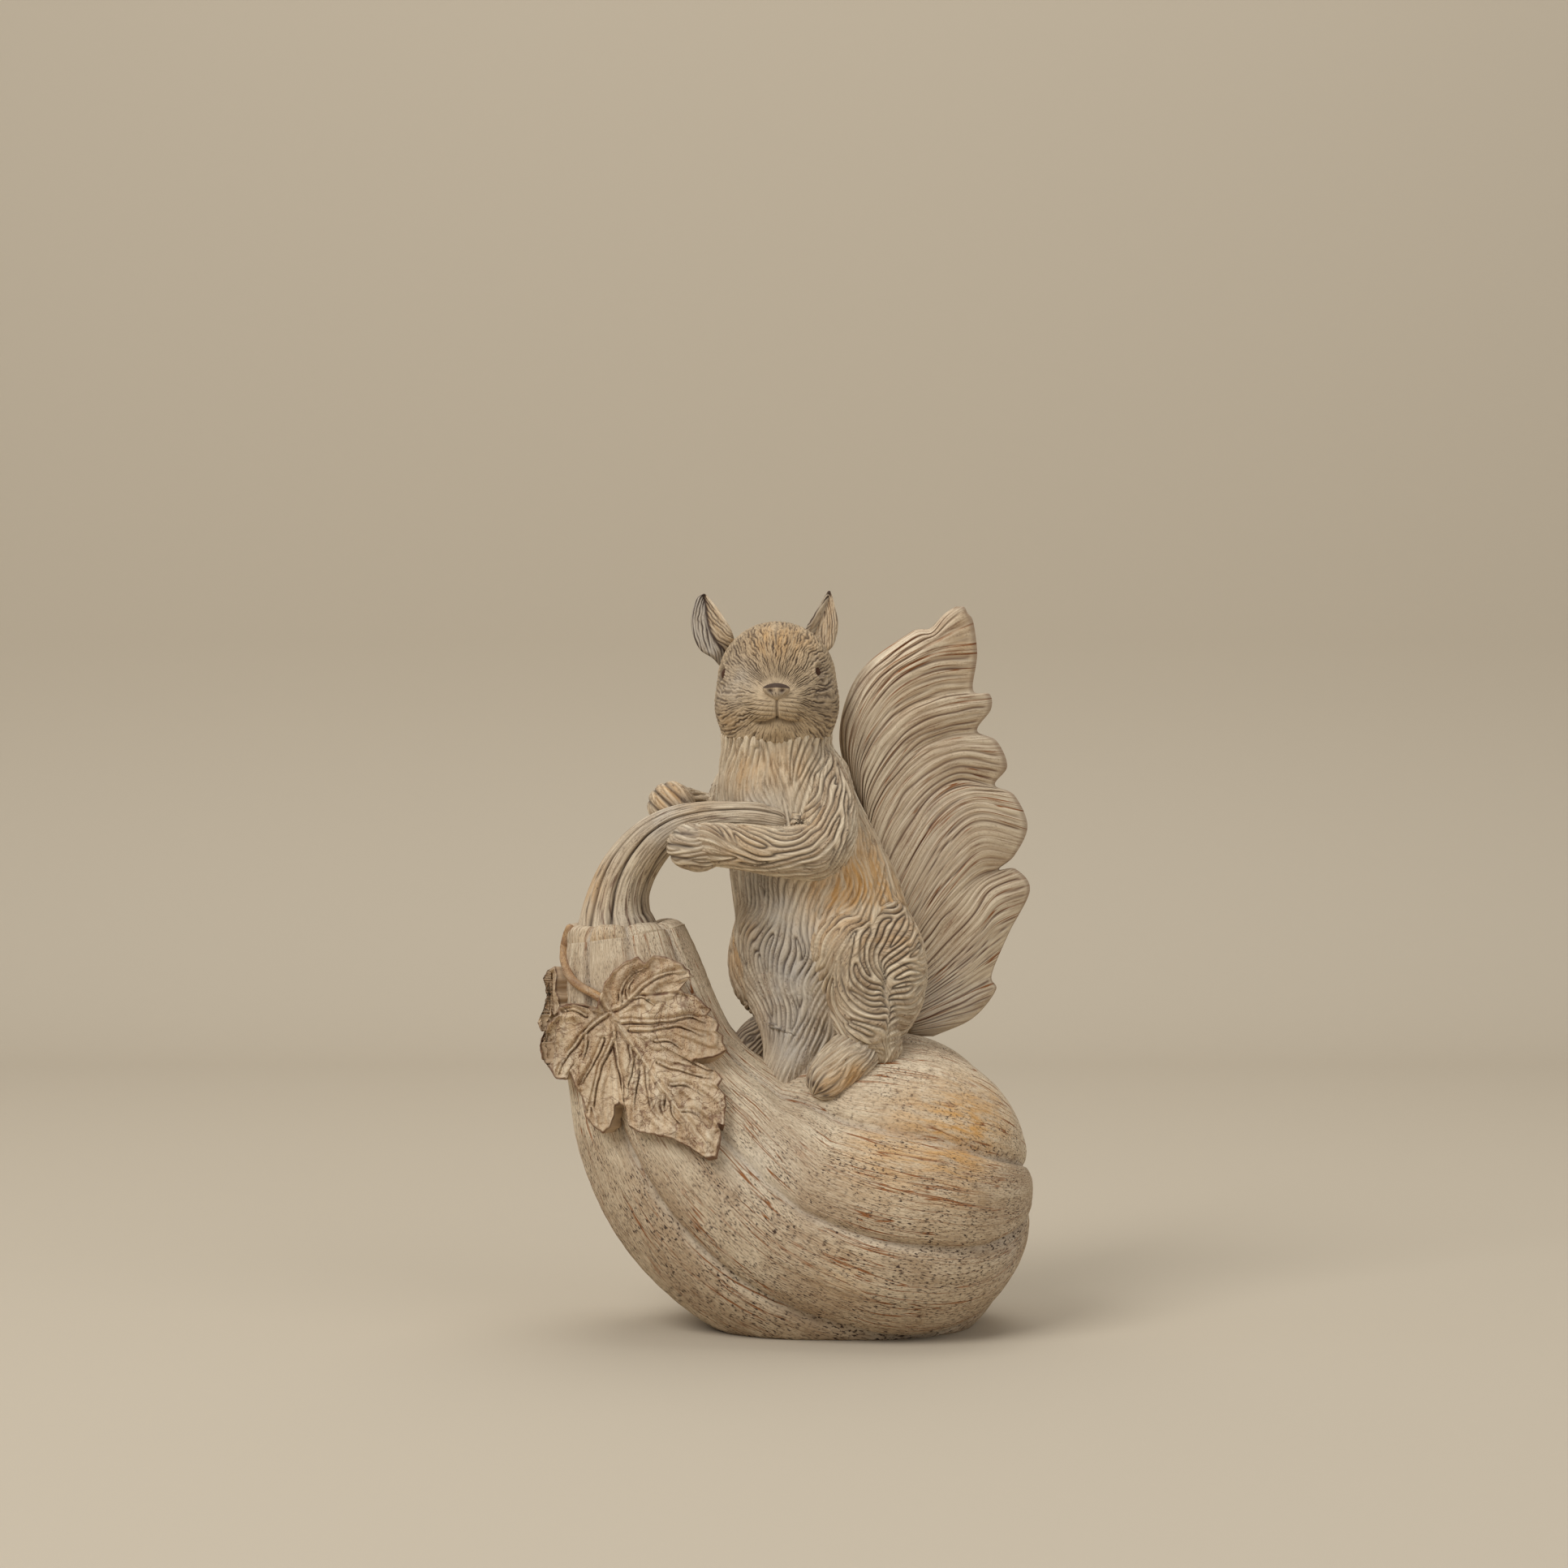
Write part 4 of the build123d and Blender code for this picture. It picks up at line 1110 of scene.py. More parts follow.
# each eye lies in a socket with a raised lid and dark creases round it
for eye in face["eyes"]:
    away = np.linalg.norm((grid - eye) / np.array([0.85, 0.85, 1.15]), axis=-1)
    lift += 0.7 * hill(away - 3.1, 0.6) - 1.0 * smooth(2.5, 1.5, away)
    dark += 0.55 * hill(away - 2.4, 0.35) + 0.4 * hill(away - 4.2, 0.35) + 0.3 * hill(away - 5.8, 0.35)
run = rowRun(grid)
height, groove, own = strands(angle * face["girth"], run, face["hair"], face["seed"])
hairy = smooth(6, 11, run) * (1 - front * hill(np.hypot((x - mouthX) / 1.6, z - mouthZ + 2), 3.5))
calm = 1 - 0.6 * marks(grid, face["calm"])
lift += height * hairy * np.clip(calm, 0.2, 1)
shade = marks(grid, face["shade"]) * (1 - front * hill(np.hypot((x - mouthX) / 1.5, z - mouthZ + 1), 7.0))
grid = grid + normal * lift[..., None]
head = Shell()
head.add(
    grid,
    angle * face["girth"],
    run,
    groove=held(np.maximum(groove * hairy * calm, dark) + shade * (0.05 + 0.3 * (1 - own))),
    tone=own + 0.5 - 0.5 * shade,
    stain=marks(grid, face["stains"]),
    frost=marks(grid, face["frosts"]),
)
head.build("squirrelHead", "head", facePaint)

# a ball that narrows downward, with two nostrils and a dark bar over its top
noseSizes = dict(
    half=(5.2, 2.7, 3.0),
    rows=100,
    cols=160,
    narrow=0.62,
    nostril=(0.45, 0.12),
    nostrilHalf=(0.24, 0.26),
)
theta = np.linspace(0.02, math.pi - 0.02, counted(noseSizes["rows"]))[:, None]
phi = np.linspace(0, 2 * math.pi, counted(noseSizes["cols"]), endpoint=False)[None, :]
up, wide, deep = np.cos(theta) * np.ones(phi.shape), np.sin(theta) * np.cos(phi), np.sin(theta) * np.sin(phi)
narrow = 1 - noseSizes["narrow"] * smooth(0.6, -1.0, up)
(holeX, holeZ), (holeWide, holeTall) = noseSizes["nostril"], noseSizes["nostrilHalf"]
nostril = hill(np.hypot((np.abs(wide) - holeX) / holeWide, (up - holeZ) / holeTall), 1.0) * (deep < 0)
grid = np.stack([wide * narrow, deep * (1 - 0.3 * smooth(0.2, -1, up)) * (1 - 0.3 * nostril), up], axis=-1)
grid = grid * np.array(noseSizes["half"]) + np.array(face["nose"])
bar = smooth(0.28, 0.5, up + 0.08 * ripple(wide * 3, up, 35))
nose = Shell()
nose.add(
    grid[::-1],
    (phi * 4 * np.ones(theta.shape))[::-1],
    (theta * 3 * np.ones(phi.shape))[::-1],
    groove=held(np.maximum(nostril, bar) + 0.08)[::-1],
    tone=0.6,
    frost=(0.4 * hill(up + 0.3, 0.4))[::-1],
)
nose.build("squirrelNose", "nose", facePaint)

eyeSizes = dict(half=(1.8, 1.8, 2.35), sunk=0.5, core=(1.0, 0.6), cols=60, capRows=(16, 22), reach=6.0)
for label, eye in zip(("Left", "Right"), face["eyes"]):
    outward = unit(eye - headMiddle)
    eye = eye - outward * eyeSizes["sunk"]
    path = np.linspace(eye - outward * eyeSizes["core"][0], eye + outward * eyeSizes["core"][1], 6)
    capRows = map(counted, eyeSizes["capRows"])
    centres, ways, angle = tubeRays(path, (0, 0, 1), counted(eyeSizes["cols"]), *capRows)
    grid = cast(centres, ways, lambda p: ballGap(p, eye, eyeSizes["half"]), eyeSizes["reach"])
    ball = Shell()
    ball.add(grid, angle * 3, rowRun(grid), tone=0.5)
    ball.build("squirrelEye" + label, "eye_" + label.lower(), darkPaint)

for which in ("near", "far"):
    size = legSizes[which]
    name, node, gapName = size["names"]
    path = np.linspace(*[np.array(end) for end in size["core"]], counted(legSizes["rows"]))
    capRows = counted(legSizes["capRows"])
    centres, ways, angle = tubeRays(path, (0, 1, 0), counted(legSizes["cols"]), capRows, capRows)
    grid, shown = skinOf(gapName, centres, ways, size["reach"])
    # the fold between the front bulge and the haunch
    x, y, z = np.moveaxis(grid, -1, 0)
    crease = size["fold"] * hill(x - 14.0, 0.8) * smooth(-14, -20, y)
    crease = crease * smooth(100, 106, z) * smooth(134, 122, z)
    furPiece(name, node, grid, size, shown, -0.9 * crease, lambda groove: np.maximum(groove, 0.5 * crease))

for which in ("near", "far"):
    size = armSizes[which]
    name, node, gapName = size["names"]
    path = evenCurve(np.array(size["path"])[:, :3], counted(armSizes["rows"]))
    capRows = map(counted, armSizes["capRows"])
    centres, ways, angle = tubeRays(path, (0, 1, 0), counted(armSizes["cols"]), *capRows)
    grid, shown = skinOf(gapName, centres, ways, armSizes["reach"], armSizes["spare"])
    furPiece(name, node, grid, size, shown, 0.0, lambda groove: groove)

# the plume is a sheet of hair with two sides. Its lines of flow in the picture run from the back's edge
# to the tips, each at five spots, and some are notches between two locks
plumeSizes = dict(
    depthAt=22.0,  # depth of its middle at middleX
    slope=0.466,
    middleX=33.0,
    dotSize=0.287,
    half=12.5,
    rows=372,
    cols=250,
    notches=[0, 3, 6, 9, 13, 17, 20],
    flow=[
        (1052, 985, 1034, 905, 1058, 830, 1120, 780, 1178, 747),
        (1056, 1000, 1044, 910, 1075, 835, 1135, 790, 1195, 752),
        (1060, 1010, 1052, 920, 1090, 845, 1145, 810, 1204, 803),
        (1064, 1025, 1062, 945, 1100, 885, 1150, 858, 1199, 850),
        (1066, 1035, 1066, 955, 1105, 893, 1158, 864, 1219, 855),
        (1068, 1050, 1070, 975, 1112, 910, 1165, 885, 1221, 874),
        (1070, 1065, 1074, 1000, 1115, 935, 1160, 908, 1204, 900),
        (1072, 1075, 1078, 1010, 1118, 948, 1170, 918, 1228, 913),
        (1076, 1100, 1090, 1025, 1130, 965, 1180, 937, 1241, 944),
        (1080, 1120, 1098, 1045, 1140, 985, 1180, 960, 1226, 967),
        (1084, 1140, 1108, 1065, 1150, 1000, 1195, 975, 1250, 980),
        (1090, 1170, 1130, 1090, 1165, 1035, 1205, 1005, 1266, 1018),
        (1095, 1200, 1145, 1120, 1180, 1075, 1210, 1050, 1250, 1054),
        (1098, 1210, 1150, 1140, 1185, 1100, 1208, 1080, 1231, 1071),
        (1100, 1220, 1155, 1160, 1190, 1120, 1213, 1090, 1252, 1071),
        (1104, 1235, 1165, 1180, 1205, 1140, 1230, 1110, 1269, 1097),
        (1108, 1250, 1160, 1215, 1195, 1190, 1220, 1168, 1243, 1150),
        (1112, 1258, 1150, 1240, 1180, 1225, 1202, 1212, 1222, 1201),
        (1114, 1264, 1150, 1252, 1180, 1240, 1205, 1230, 1227, 1220),
        (1116, 1270, 1145, 1266, 1165, 1262, 1182, 1259, 1198, 1255),
        (1118, 1275, 1128, 1276, 1136, 1277, 1143, 1277, 1150, 1277),
    ],
    # the spots, widths and heights of the top edge's dip and of the top tuft's tip
    dip=(1147, 766, 14, 16),
    tip=(1196, 750, 7, 8),
    hair=dict(pitch=2.5, sway=1.0, swayWidth=10.0, swayLength=30.0, run=24.0, cut=0.14, depth=1.0),
    stains=[(1100, 850, 20, 14, 0.35), (1180, 800, 28, 12, 0.35), (1160, 1000, 20, 20, 0.25)],
    frosts=[(1150, 1010, 16, 16, 0.4), (1150, 1240, 20, 16, 0.6), (1060, 930, 18, 12, 0.3)],
)


# a sheet through the table of flow lines: a smooth curve across the lines, then one along each
def plumeSheet(rows, cols):
    table = curveThrough(np.array(plumeSizes["flow"], float), rows).reshape(rows, 5, 2)
    lines = curveThrough(table.transpose(1, 0, 2).reshape(5, -1), cols).reshape(cols, rows, 2)
    return lines.transpose(1, 0, 2)


# e to the minus sum of the squares of how many widths and heights a spot of the sheet is away
def spotOn(sheet, x, y, wide, tall):
    return np.exp(-(((sheet[..., 0] - x) / wide) ** 2) - ((sheet[..., 1] - y) / tall) ** 2)


# a front and a back as one grid whose columns close: the back's run backwards, without its two edges
def folded(front, back):
    return np.concatenate([front, back[:, -2:0:-1]], axis=1)


rows, half = counted(plumeSizes["rows"]), counted(plumeSizes["cols"]) // 2
flat = plumeSheet(rows, half + 1)
# the top edge dips before the last tuft, and the tuft's tip is round
dip, tip = spotOn(flat, *plumeSizes["dip"]), spotOn(flat, *plumeSizes["tip"])
flat = flat + np.stack([-3 * tip, 10 * dip + 4 * tip], axis=-1)
t = np.linspace(0, 1, half + 1)[None, :] * np.ones((rows, 1))
s = np.linspace(0, plumeSizes["notches"][-1], rows)[:, None] * np.ones((1, half + 1))
x = seen(flat[..., 0], flat[..., 1], 30.0)[..., 0]
middle = plumeSizes["depthAt"] + plumeSizes["slope"] * (x - plumeSizes["middleX"])
notches = np.array(plumeSizes["notches"], float)
lock = np.clip(np.searchsorted(notches, s[:, 0], side="right") - 1, 0, len(notches) - 2)
inLock = ((s[:, 0] - notches[lock]) / (notches[lock + 1] - notches[lock]))[:, None]
roundLock = np.sqrt(held(1 - (2 * inLock - 1) ** 2))
# half the thickness: full near the back's edge, none at the rim, and less in the notches towards the tips
thick = np.sqrt(held(1 - np.abs(2 * t**0.75 - 1) ** 2.6))
edge = np.sqrt(held(1 - np.abs(s / 10 - 1) ** 9))
halfThick = plumeSizes["half"] * thick * edge * (1 - smooth(0.35, 0.95, t) * (0.3 + 0.45 * (1 - roundLock)))
spacing = np.linalg.norm(np.diff(flat[:, int(half * 0.55)], axis=0), axis=-1) * plumeSizes["dotSize"]
acrossFlow = np.concatenate([[0.0], np.cumsum(spacing)])[:, None] * np.ones((1, half + 1))
steps = np.linalg.norm(np.diff(flat, axis=1), axis=-1)
alongFlow = np.concatenate([np.zeros((rows, 1)), np.cumsum(steps, axis=1)], axis=1) * plumeSizes["dotSize"]
# painted shade: a darker strip along the back's edge of the upper locks, where the plume turns away
paintedEdgeShade = 0.4 * smooth(0.15, 0.09, t + 0.02 * ripple(s, 0.5, 69)) * smooth(1.0, 2.0, s) * smooth(9, 6, s)
sides = []
for side, seed in ((-1, 61), (1, 65)):
    height, groove, own = strands(acrossFlow, alongFlow, plumeSizes["hair"], seed)
    fine = smooth(0.0, 0.12, t) * smooth(1.0, 0.93, t) * held(halfThick / 4)
    depth = middle + side * (halfThick + height * fine)
    dark = held(groove * held(fine * 1.5) + paintedEdgeShade + 0.5 * smooth(0.965, 0.99, t))
    sides.append((seen(flat[..., 0], flat[..., 1], depth), dark, 0.6 + 0.65 * own))
grid, groove, tone = [folded(front, back)[::-1] for front, back in zip(*sides)]
plume = Shell()
plume.add(
    grid,
    folded(acrossFlow, acrossFlow + 200)[::-1],
    folded(alongFlow, alongFlow)[::-1],
    groove=groove,
    tone=tone,
    stain=marks(grid, plumeSizes["stains"]),
    frost=marks(grid, plumeSizes["frosts"]),
)
plume.build("squirrelPlume", "tail", plumePaint)

# both ears, from their outlines in the picture: left edge, right edge and the dark seam of the cup, from
# root to tip
earSizes = dict(
    right=dict(
        left=[
            (893, 829), (879, 812), (863, 801), (854, 783), (851.5, 766), (854, 750), (859, 737),
            (866.5, 731.5),
        ],
        right=[
            (905, 806), (905, 790), (901, 776), (894, 764), (886, 752), (879, 743), (873, 736),
            (868.5, 731.5),
        ],
        seam=[0.50, 0.50, 0.48, 0.50, 0.56, 0.62, 0.62, 0.5],
        depth=[0.0, -5.0, -7.0, -7.0, -6.0, -5.0, -4.0, -3.5],
        thick=4.6,
        dark=0.9,
        frost=0.75,
        seed=71,
    ),
    left=dict(
        left=[
            (1000, 812), (992, 786), (994, 772), (1000, 762), (1007, 750), (1013, 740), (1017, 733),
            (1020.5, 728),
        ],
        right=[
            (1016, 822), (1018, 806), (1027, 795), (1031.5, 780), (1032.5, 766), (1030, 752), (1027, 740),
            (1023, 728),
        ],
        seam=[0.4, 0.35, 0.32, 0.3, 0.32, 0.36, 0.42, 0.5],
        depth=[-4.0, -6.0, -7.0, -7.5, -7.0, -6.0, -5.0, -4.5],
        thick=4.4,
        dark=0.35,
        frost=0.1,
        seed=75,
    ),
    rows=150,
    half=80,
    length=26.0,
    hair=dict(pitch=1.0, sway=0.7, swayWidth=4.0, swayLength=7.0, run=5.0, cut=0.22, depth=0.3),
)
for label in ("right", "left"):
    size = earSizes[label]
    rows, half = counted(earSizes["rows"]), counted(earSizes["half"])
    table = [(*a, *b, s, d) for a, b, s, d in zip(size["left"], size["right"], size["seam"], size["depth"])]
    leftX, leftY, rightX, rightY, seam, base = curveThrough(table, rows).T[..., None]
    v = np.linspace(0, 1, rows)[:, None]
    u = 0.5 - 0.5 * np.cos(np.linspace(0, math.pi, half + 1))[None, :]
    x, y = leftX * (1 - u) + rightX * u, leftY * (1 - u) + rightY * u
    wide = np.abs(rightX - leftX) * dotSize
    bow = np.sqrt(held(1 - (2 * u - 1) ** 2))
    cup = np.where(u < seam, u / seam, (1 - u) / (1 - seam))
    run = v * earSizes["length"] * np.ones(u.shape)
    across = (u - 0.5) * wide * np.ones(v.shape)
    fanned = across + 0.35 * run * np.sign(u - seam)
    height, groove, own = strands(fanned, run, earSizes["hair"], size["seed"])
    hollow = 0.30 * wide * smooth(0.0, 1.0, cup) * smooth(0.0, 0.12, v) * smooth(1.0, 0.9, v)
    rim = 0.35 * hill(u * wide - 0.9, 0.6) + 0.35 * hill((1 - u) * wide - 0.9, 0.6)
    front = base - 0.42 * wide * bow * (1 - smooth(0.0, 0.12, v) * 0.75) - rim + hollow
    front = front - height * smooth(0, 0.15, u) * smooth(1, 0.85, u)
    back = base + 0.55 + size["thick"] * bow * (0.25 + 0.75 * held(wide / 13)) + 0.6 * hollow
    backHeight, backGroove, backOwn = strands(across, run, earSizes["hair"], size["seed"] + 2)
    back = back + backHeight * bow * 0.8
    # the cup is dark along its seam and on one side of it, and at its tip and edge
    seamDark = hill((u - seam) * wide, 0.55) * smooth(0.05, 0.2, v)
    tipDark = 0.6 * smooth(0.86, 0.97, v) + 0.35 * hill(u * wide, 0.5)
    plain = np.ones(run.shape)
    ear = Shell()
    ear.add(
        folded(seen(x, y, front), seen(x, y, back)),
        folded(across, across),
        folded(run, run),
        groove=folded(held(groove + size["dark"] * (seamDark + 0.15 * (u < seam)) + tipDark), backGroove),
        tone=folded(0.3 + 0.7 * own, backOwn),
        stain=folded(0.3 * (u > seam) * plain, 0.3 * plain),
        frost=folded(size["frost"] * (u < seam) * plain, 0.2 * plain),
    )
    ear.build("squirrelEar" + label.capitalize(), "ear_" + label, earPaint)

# both paws: a fist whose finger half is cut into four fingers
pawSizes = dict(
    near=dict(
        plainFur,
        names=("squirrelPawNear", "paw_left"),
        middle=(-50.0, -31.5, 168.2),
        half=(10.0, 7.4, 8.2),
        way=(-1.0, -0.05, 0.12),  # where the fingers point
        arrows=[
            (850, 1012, 205), (850, 1030, 185), (860, 1050, 170),
            (880, 1040, 190), (835, 1022, 200), (835, 1040, 165),
        ],
        seed=81,
        stains=[(900, 1040, -38, 5, 0.3)],
        frosts=[(845, 1030, -36, 6, 0.3)],
    ),
    far=dict(
        plainFur,
        names=("squirrelPawFar", "paw_right"),
        middle=(-59.6, -1.0, 182.2),
        half=(8.2, 8.4, 8.2),
        way=(-0.55, -0.6, 0.5),
        arrows=[(820, 975, 250), (835, 985, 230), (845, 1000, 200)],
        seed=85,
        stains=[(826, 980, -8, 6, 0.9)],
        frosts=[(850, 1005, -8, 6, 0.8)],
    ),
    fingers=4,
    rows=40,
    cols=150,
    capRows=50,
    reach=20.0,
)
pawHair = dict(heard=3.0, hair=dict(pitch=1.6, run=5.0, cut=0.38, depth=0.7))
for which in ("near", "far"):
    size = dict(pawSizes[which], **pawHair)
    centre, way, half = np.array(size["middle"]), unit(np.array(size["way"])), np.array(size["half"])
    core = way * half[0] * 0.35
    path = np.linspace(centre - core, centre + core, counted(pawSizes["rows"]))
    capRows = counted(pawSizes["capRows"])
    centres, ways, angle = tubeRays(path, (0, 1, 0), counted(pawSizes["cols"]), capRows, capRows)
    side, up = [vectors[0] for vectors in framesOn(path, (0, 1, 0))[1:]]
    inPaw = lambda p: np.stack([(p - centre) @ axis for axis in (way, side, up)], axis=-1)
    grid = cast(centres, ways, lambda p: ballGap(inPaw(p), (0, 0, 0), half), pawSizes["reach"])
    run, tall = inPaw(grid)[..., 0], inPaw(grid)[..., 2]
    finger = smooth(-0.15, 0.35, run / half[0])
    slot = tall / (half[2] * 2.05) * pawSizes["fingers"] + pawSizes["fingers"] / 2
    between = 0.9 * hill(toWhole(slot), 0.17) * finger
    lift = finger * (0.9 * hump(slot) - 0.6)
    wash = lambda groove: np.maximum(groove * (1 - 0.5 * finger), between)
    furPiece(*size["names"], grid, size, 1 - 0.6 * finger, lift, wash)

# both hind feet: a mitt along a path of places and radii, cut into toes at its end, each with a nail
footSizes = dict(
    near=dict(
        plainFur,
        names=("squirrelFootNear", "foot_left"),
        path=[
            (*seen(1080, 1274, -20), 7.0), (*seen(1062, 1290, -24), 8.2), (*seen(1040, 1309, -28), 8.6),
            (*seen(1020, 1330, -31), 7.4),
        ],
        dark=0.0,
        arrows=[
            (1058, 1290, 140), (1042, 1298, 125), (1026, 1306, 140), (1010, 1314, 120), (1034, 1319, 145),
            (1018, 1330, 130), (1002, 1322, 105), (1050, 1314, 120), (1039, 1330, 140), (1070, 1296, 130),
            (1076, 1280, 120),
        ],
        seed=91,
        stains=[(1050, 1325, -36, 6, 0.7), (1020, 1335, -38, 4, 0.5)],
        frosts=[(1070, 1285, -30, 6, 0.6)],
    ),
    far=dict(
        plainFur,
        names=("squirrelFootFar", "foot_right"),
        path=[
            (-19.0, 4.0, 101.0, 7.4), (-24.0, 3.0, 102.0, 8.2),
            (-29.0, 0.5, 100.0, 7.6), (-34.5, -2.5, 96.0, 6.0),
        ],
        # painted shade: the far foot, tucked behind under the belly, is darkened all over
        dark=0.5,
        arrows=[(925, 1275, 130), (945, 1290, 120)],
        seed=95,
    ),
    toes=9,  # slots round the whole mitt
    rows=90,
    cols=170,
    capRows=(40, 46),
)
footHair = dict(heard=3.0, hair=dict(pitch=1.7, run=5.0, cut=0.4, depth=0.7))
for which in ("near", "far"):
    size = dict(footSizes[which], **footHair)
    path = evenCurve(size["path"], counted(footSizes["rows"]))
    capRows = [counted(rows) for rows in footSizes["capRows"]]
    centres, ways, angle = tubeRays(path[:, :3], (0, 1, 0), counted(footSizes["cols"]), *capRows)
    radius = np.interp(np.arange(len(centres)), np.arange(len(path)) + capRows[0], path[:, 3])
    grid = centres + ways * radius[:, None, None]
    run = rowRun(grid)
    share = run / run[-1, 0]
    toes = smooth(0.66, 0.84, share)
    slot = angle / (2 * math.pi) * footSizes["toes"]
    between = 0.9 * hill(toWhole(slot), 0.15) * toes
    nail = toes * hill(share - 0.90, 0.035) * hill(fraction(slot) - 0.5, 0.16)
    lift = toes * (0.8 * hump(slot) - 0.7)
    # the dark value lays a flat painted shade over the whole foot; the near foot has none
    wash = lambda groove: held(np.maximum(groove * (1 - 0.5 * toes), between) + nail + size["dark"])
    furPiece(*size["names"], grid, size, 1 - 0.6 * toes, lift, wash)

# the crown: the neck's own lobes carried up from its rim, over a round shoulder and down to the stem's root
crownSizes = dict(
    # height over the rim, and the radius as a share of the rim's
    profile=[
        (-0.4, 1.0), (1.4, 1.0), (3.0, 0.965), (4.0, 0.90), (4.4, 0.82),
        (4.1, 0.74), (3.2, 0.67), (1.6, 0.61), (-2.0, 0.58),
    ],
    rows=90,
    shoulderGroove=2.6,
    tilt=2.2,
    stains=[(740, 1160, -16, 7, 0.5)],
)
ring = neckRing - neckTop
ringWay, ringRadius = unit(ring), np.linalg.norm(ring, axis=-1)
rise, spread = curveThrough(crownSizes["profile"], counted(crownSizes["rows"])).T[..., None]
fromCrest = crestGap(lobeAngle[0])
deep = fromCrest**3 * crownSizes["shoulderGroove"]
shoulder = smooth(0.0, 3.0, rise)
out = ringRadius[None, :] * spread - deep[None, :] * shoulder * 0.8
tall = rise - deep[None, :] * 0.45 * shoulder + 0.35 * ripple(lobeAngle[0] * 1.3, 0.0, 97)[None, :] * shoulder
tall = tall - crownSizes["tilt"] * (ringWay[:, 0] * spread) * shoulder
grid = (neckTop - neckWay * tall[..., None] + ringWay[None] * out[..., None])[::-1]
channel = hill(1 - fromCrest, 0.09)[None, :] * np.ones(grid.shape[:2])
inner = smooth(0.72, 0.62, spread)[::-1] * np.ones(grid.shape[:2])
crown = Shell()
crown.add(
    grid,
    lobeAngle[:1] * gourdSizes["girth"] * np.ones((len(grid), 1)),
    rowRun(grid),
    groove=held(0.1 * channel + 0.7 * inner),
    tone=0.7,
    stain=marks(grid, crownSizes["stains"]),
    frost=0.8 * channel,
)
crown.build("gourdCrown", "stem_crown", gourdPaint)

stemSizes = dict(
    # centre in the picture, depth and radius
    path=[
        (762, 1152, 0.0, 14.6), (760, 1138, 0.0, 13.2), (760, 1118, -0.5, 11.4), (765, 1094, -2.0, 10.0),
        (776, 1070, -4.0, 9.2), (792, 1048, -7.0, 8.4), (812, 1029, -10.0, 7.4), (836, 1015, -14.0, 6.2),
        (866, 1008, -18.0, 5.4), (900, 1006, -21.5, 5.0), (930, 1007, -24.0, 5.0),
        (952, 1011, -24.0, 5.0),
    ],
    rows=330,
    cols=200,
    capRows=16,
    flutes=7,
    length=112.0,
    girth=9.0,  # mean radius
    twist=0.5,  # turn of the flutes over the length, in radians
    hair=dict(pitch=1.5, sway=0.8, swayWidth=7.0, swayLength=30.0, run=20.0, cut=0.2, depth=0.22),
    stains=[(730, 1100, -6, 8, 0.5), (860, 1000, -18, 7, 0.3), (740, 1060, -4, 6, 0.4)],
    frosts=[(820, 1020, -16, 8, 0.7), (775, 1120, -10, 8, 0.3)],
)
spots = [(*seen(x, y, depth), radius) for x, y, depth, radius in stemSizes["path"]]
path = evenCurve(spots, counted(stemSizes["rows"]))
capRows = counted(stemSizes["capRows"])
centres, ways, angle = tubeRays(path[:, :3], (0, 1, 0), counted(stemSizes["cols"]), 0, capRows)
level, pathLevel = np.arange(len(centres)), np.arange(len(path))
radius = np.interp(level, pathLevel, path[:, 3])[:, None]
run = np.interp(level, pathLevel, np.linspace(0, 1, len(path)))[:, None]
length = run * stemSizes["length"] * np.ones(angle.shape)
turned = angle + stemSizes["twist"] * run + 0.35
slot = turned / (2 * math.pi) * stemSizes["flutes"]
slot = slot + 0.25 * ripple(turned * 1.6, 0.0, 101) + 0.10 * ripple(turned * 2, length / 18, 102)
edge = toWhole(slot)
height, groove, own = strands(turned * stemSizes["girth"], length, stemSizes["hair"], 103)
cut = hill(edge, 0.075)
rib = np.sqrt(held(1 - (1 - 2 * edge) ** 2))
lift = radius * (0.16 * rib - 0.12) - 0.7 * cut + height * np.clip(radius / 8, 0.4, 1)
grid = centres + ways * (radius + lift)[..., None]
stem = Shell()
stem.add(
    grid,
    turned * stemSizes["girth"],
    length,
    groove=held(0.95 * cut + 0.55 * groove),
    tone=0.35 + 0.65 * own,
    stain=marks(grid, stemSizes["stains"]),
    frost=0.1 + marks(grid, stemSizes["frosts"]),
)
stem.build("gourdStem", "stem", stemPaint)


# where the camera's ray through a spot meets the gourd's skin raised by a lift: a walk along the ray by
# the gap, which keeps the nearest place it has met
def onGourd(x, y, lift):
    start = seen(x, y, -75.0)
    way = unit(start - cameraAt)
    far = np.zeros(start.shape[:-1])
    best = np.full(far.shape, 1e9)
    bestFar = far.copy()
    for step in range(46):
        gap = gourdGap(start + way * far[..., None]) - lift
        better = np.abs(gap) < best
        best = np.where(better, np.abs(gap), best)
        bestFar = np.where(better, far, bestFar)
        far = far + np.clip(gap * 0.85, -3, 4)
    return start + way * bestFar[..., None]


# the slope of the gourd's gap, which points straight off its skin
def offGourd(p, step=0.5):
    parts = [gourdGap(p + step * axis) - gourdGap(p - step * axis) for axis in np.eye(3)]
    return unit(np.stack(parts, axis=-1))


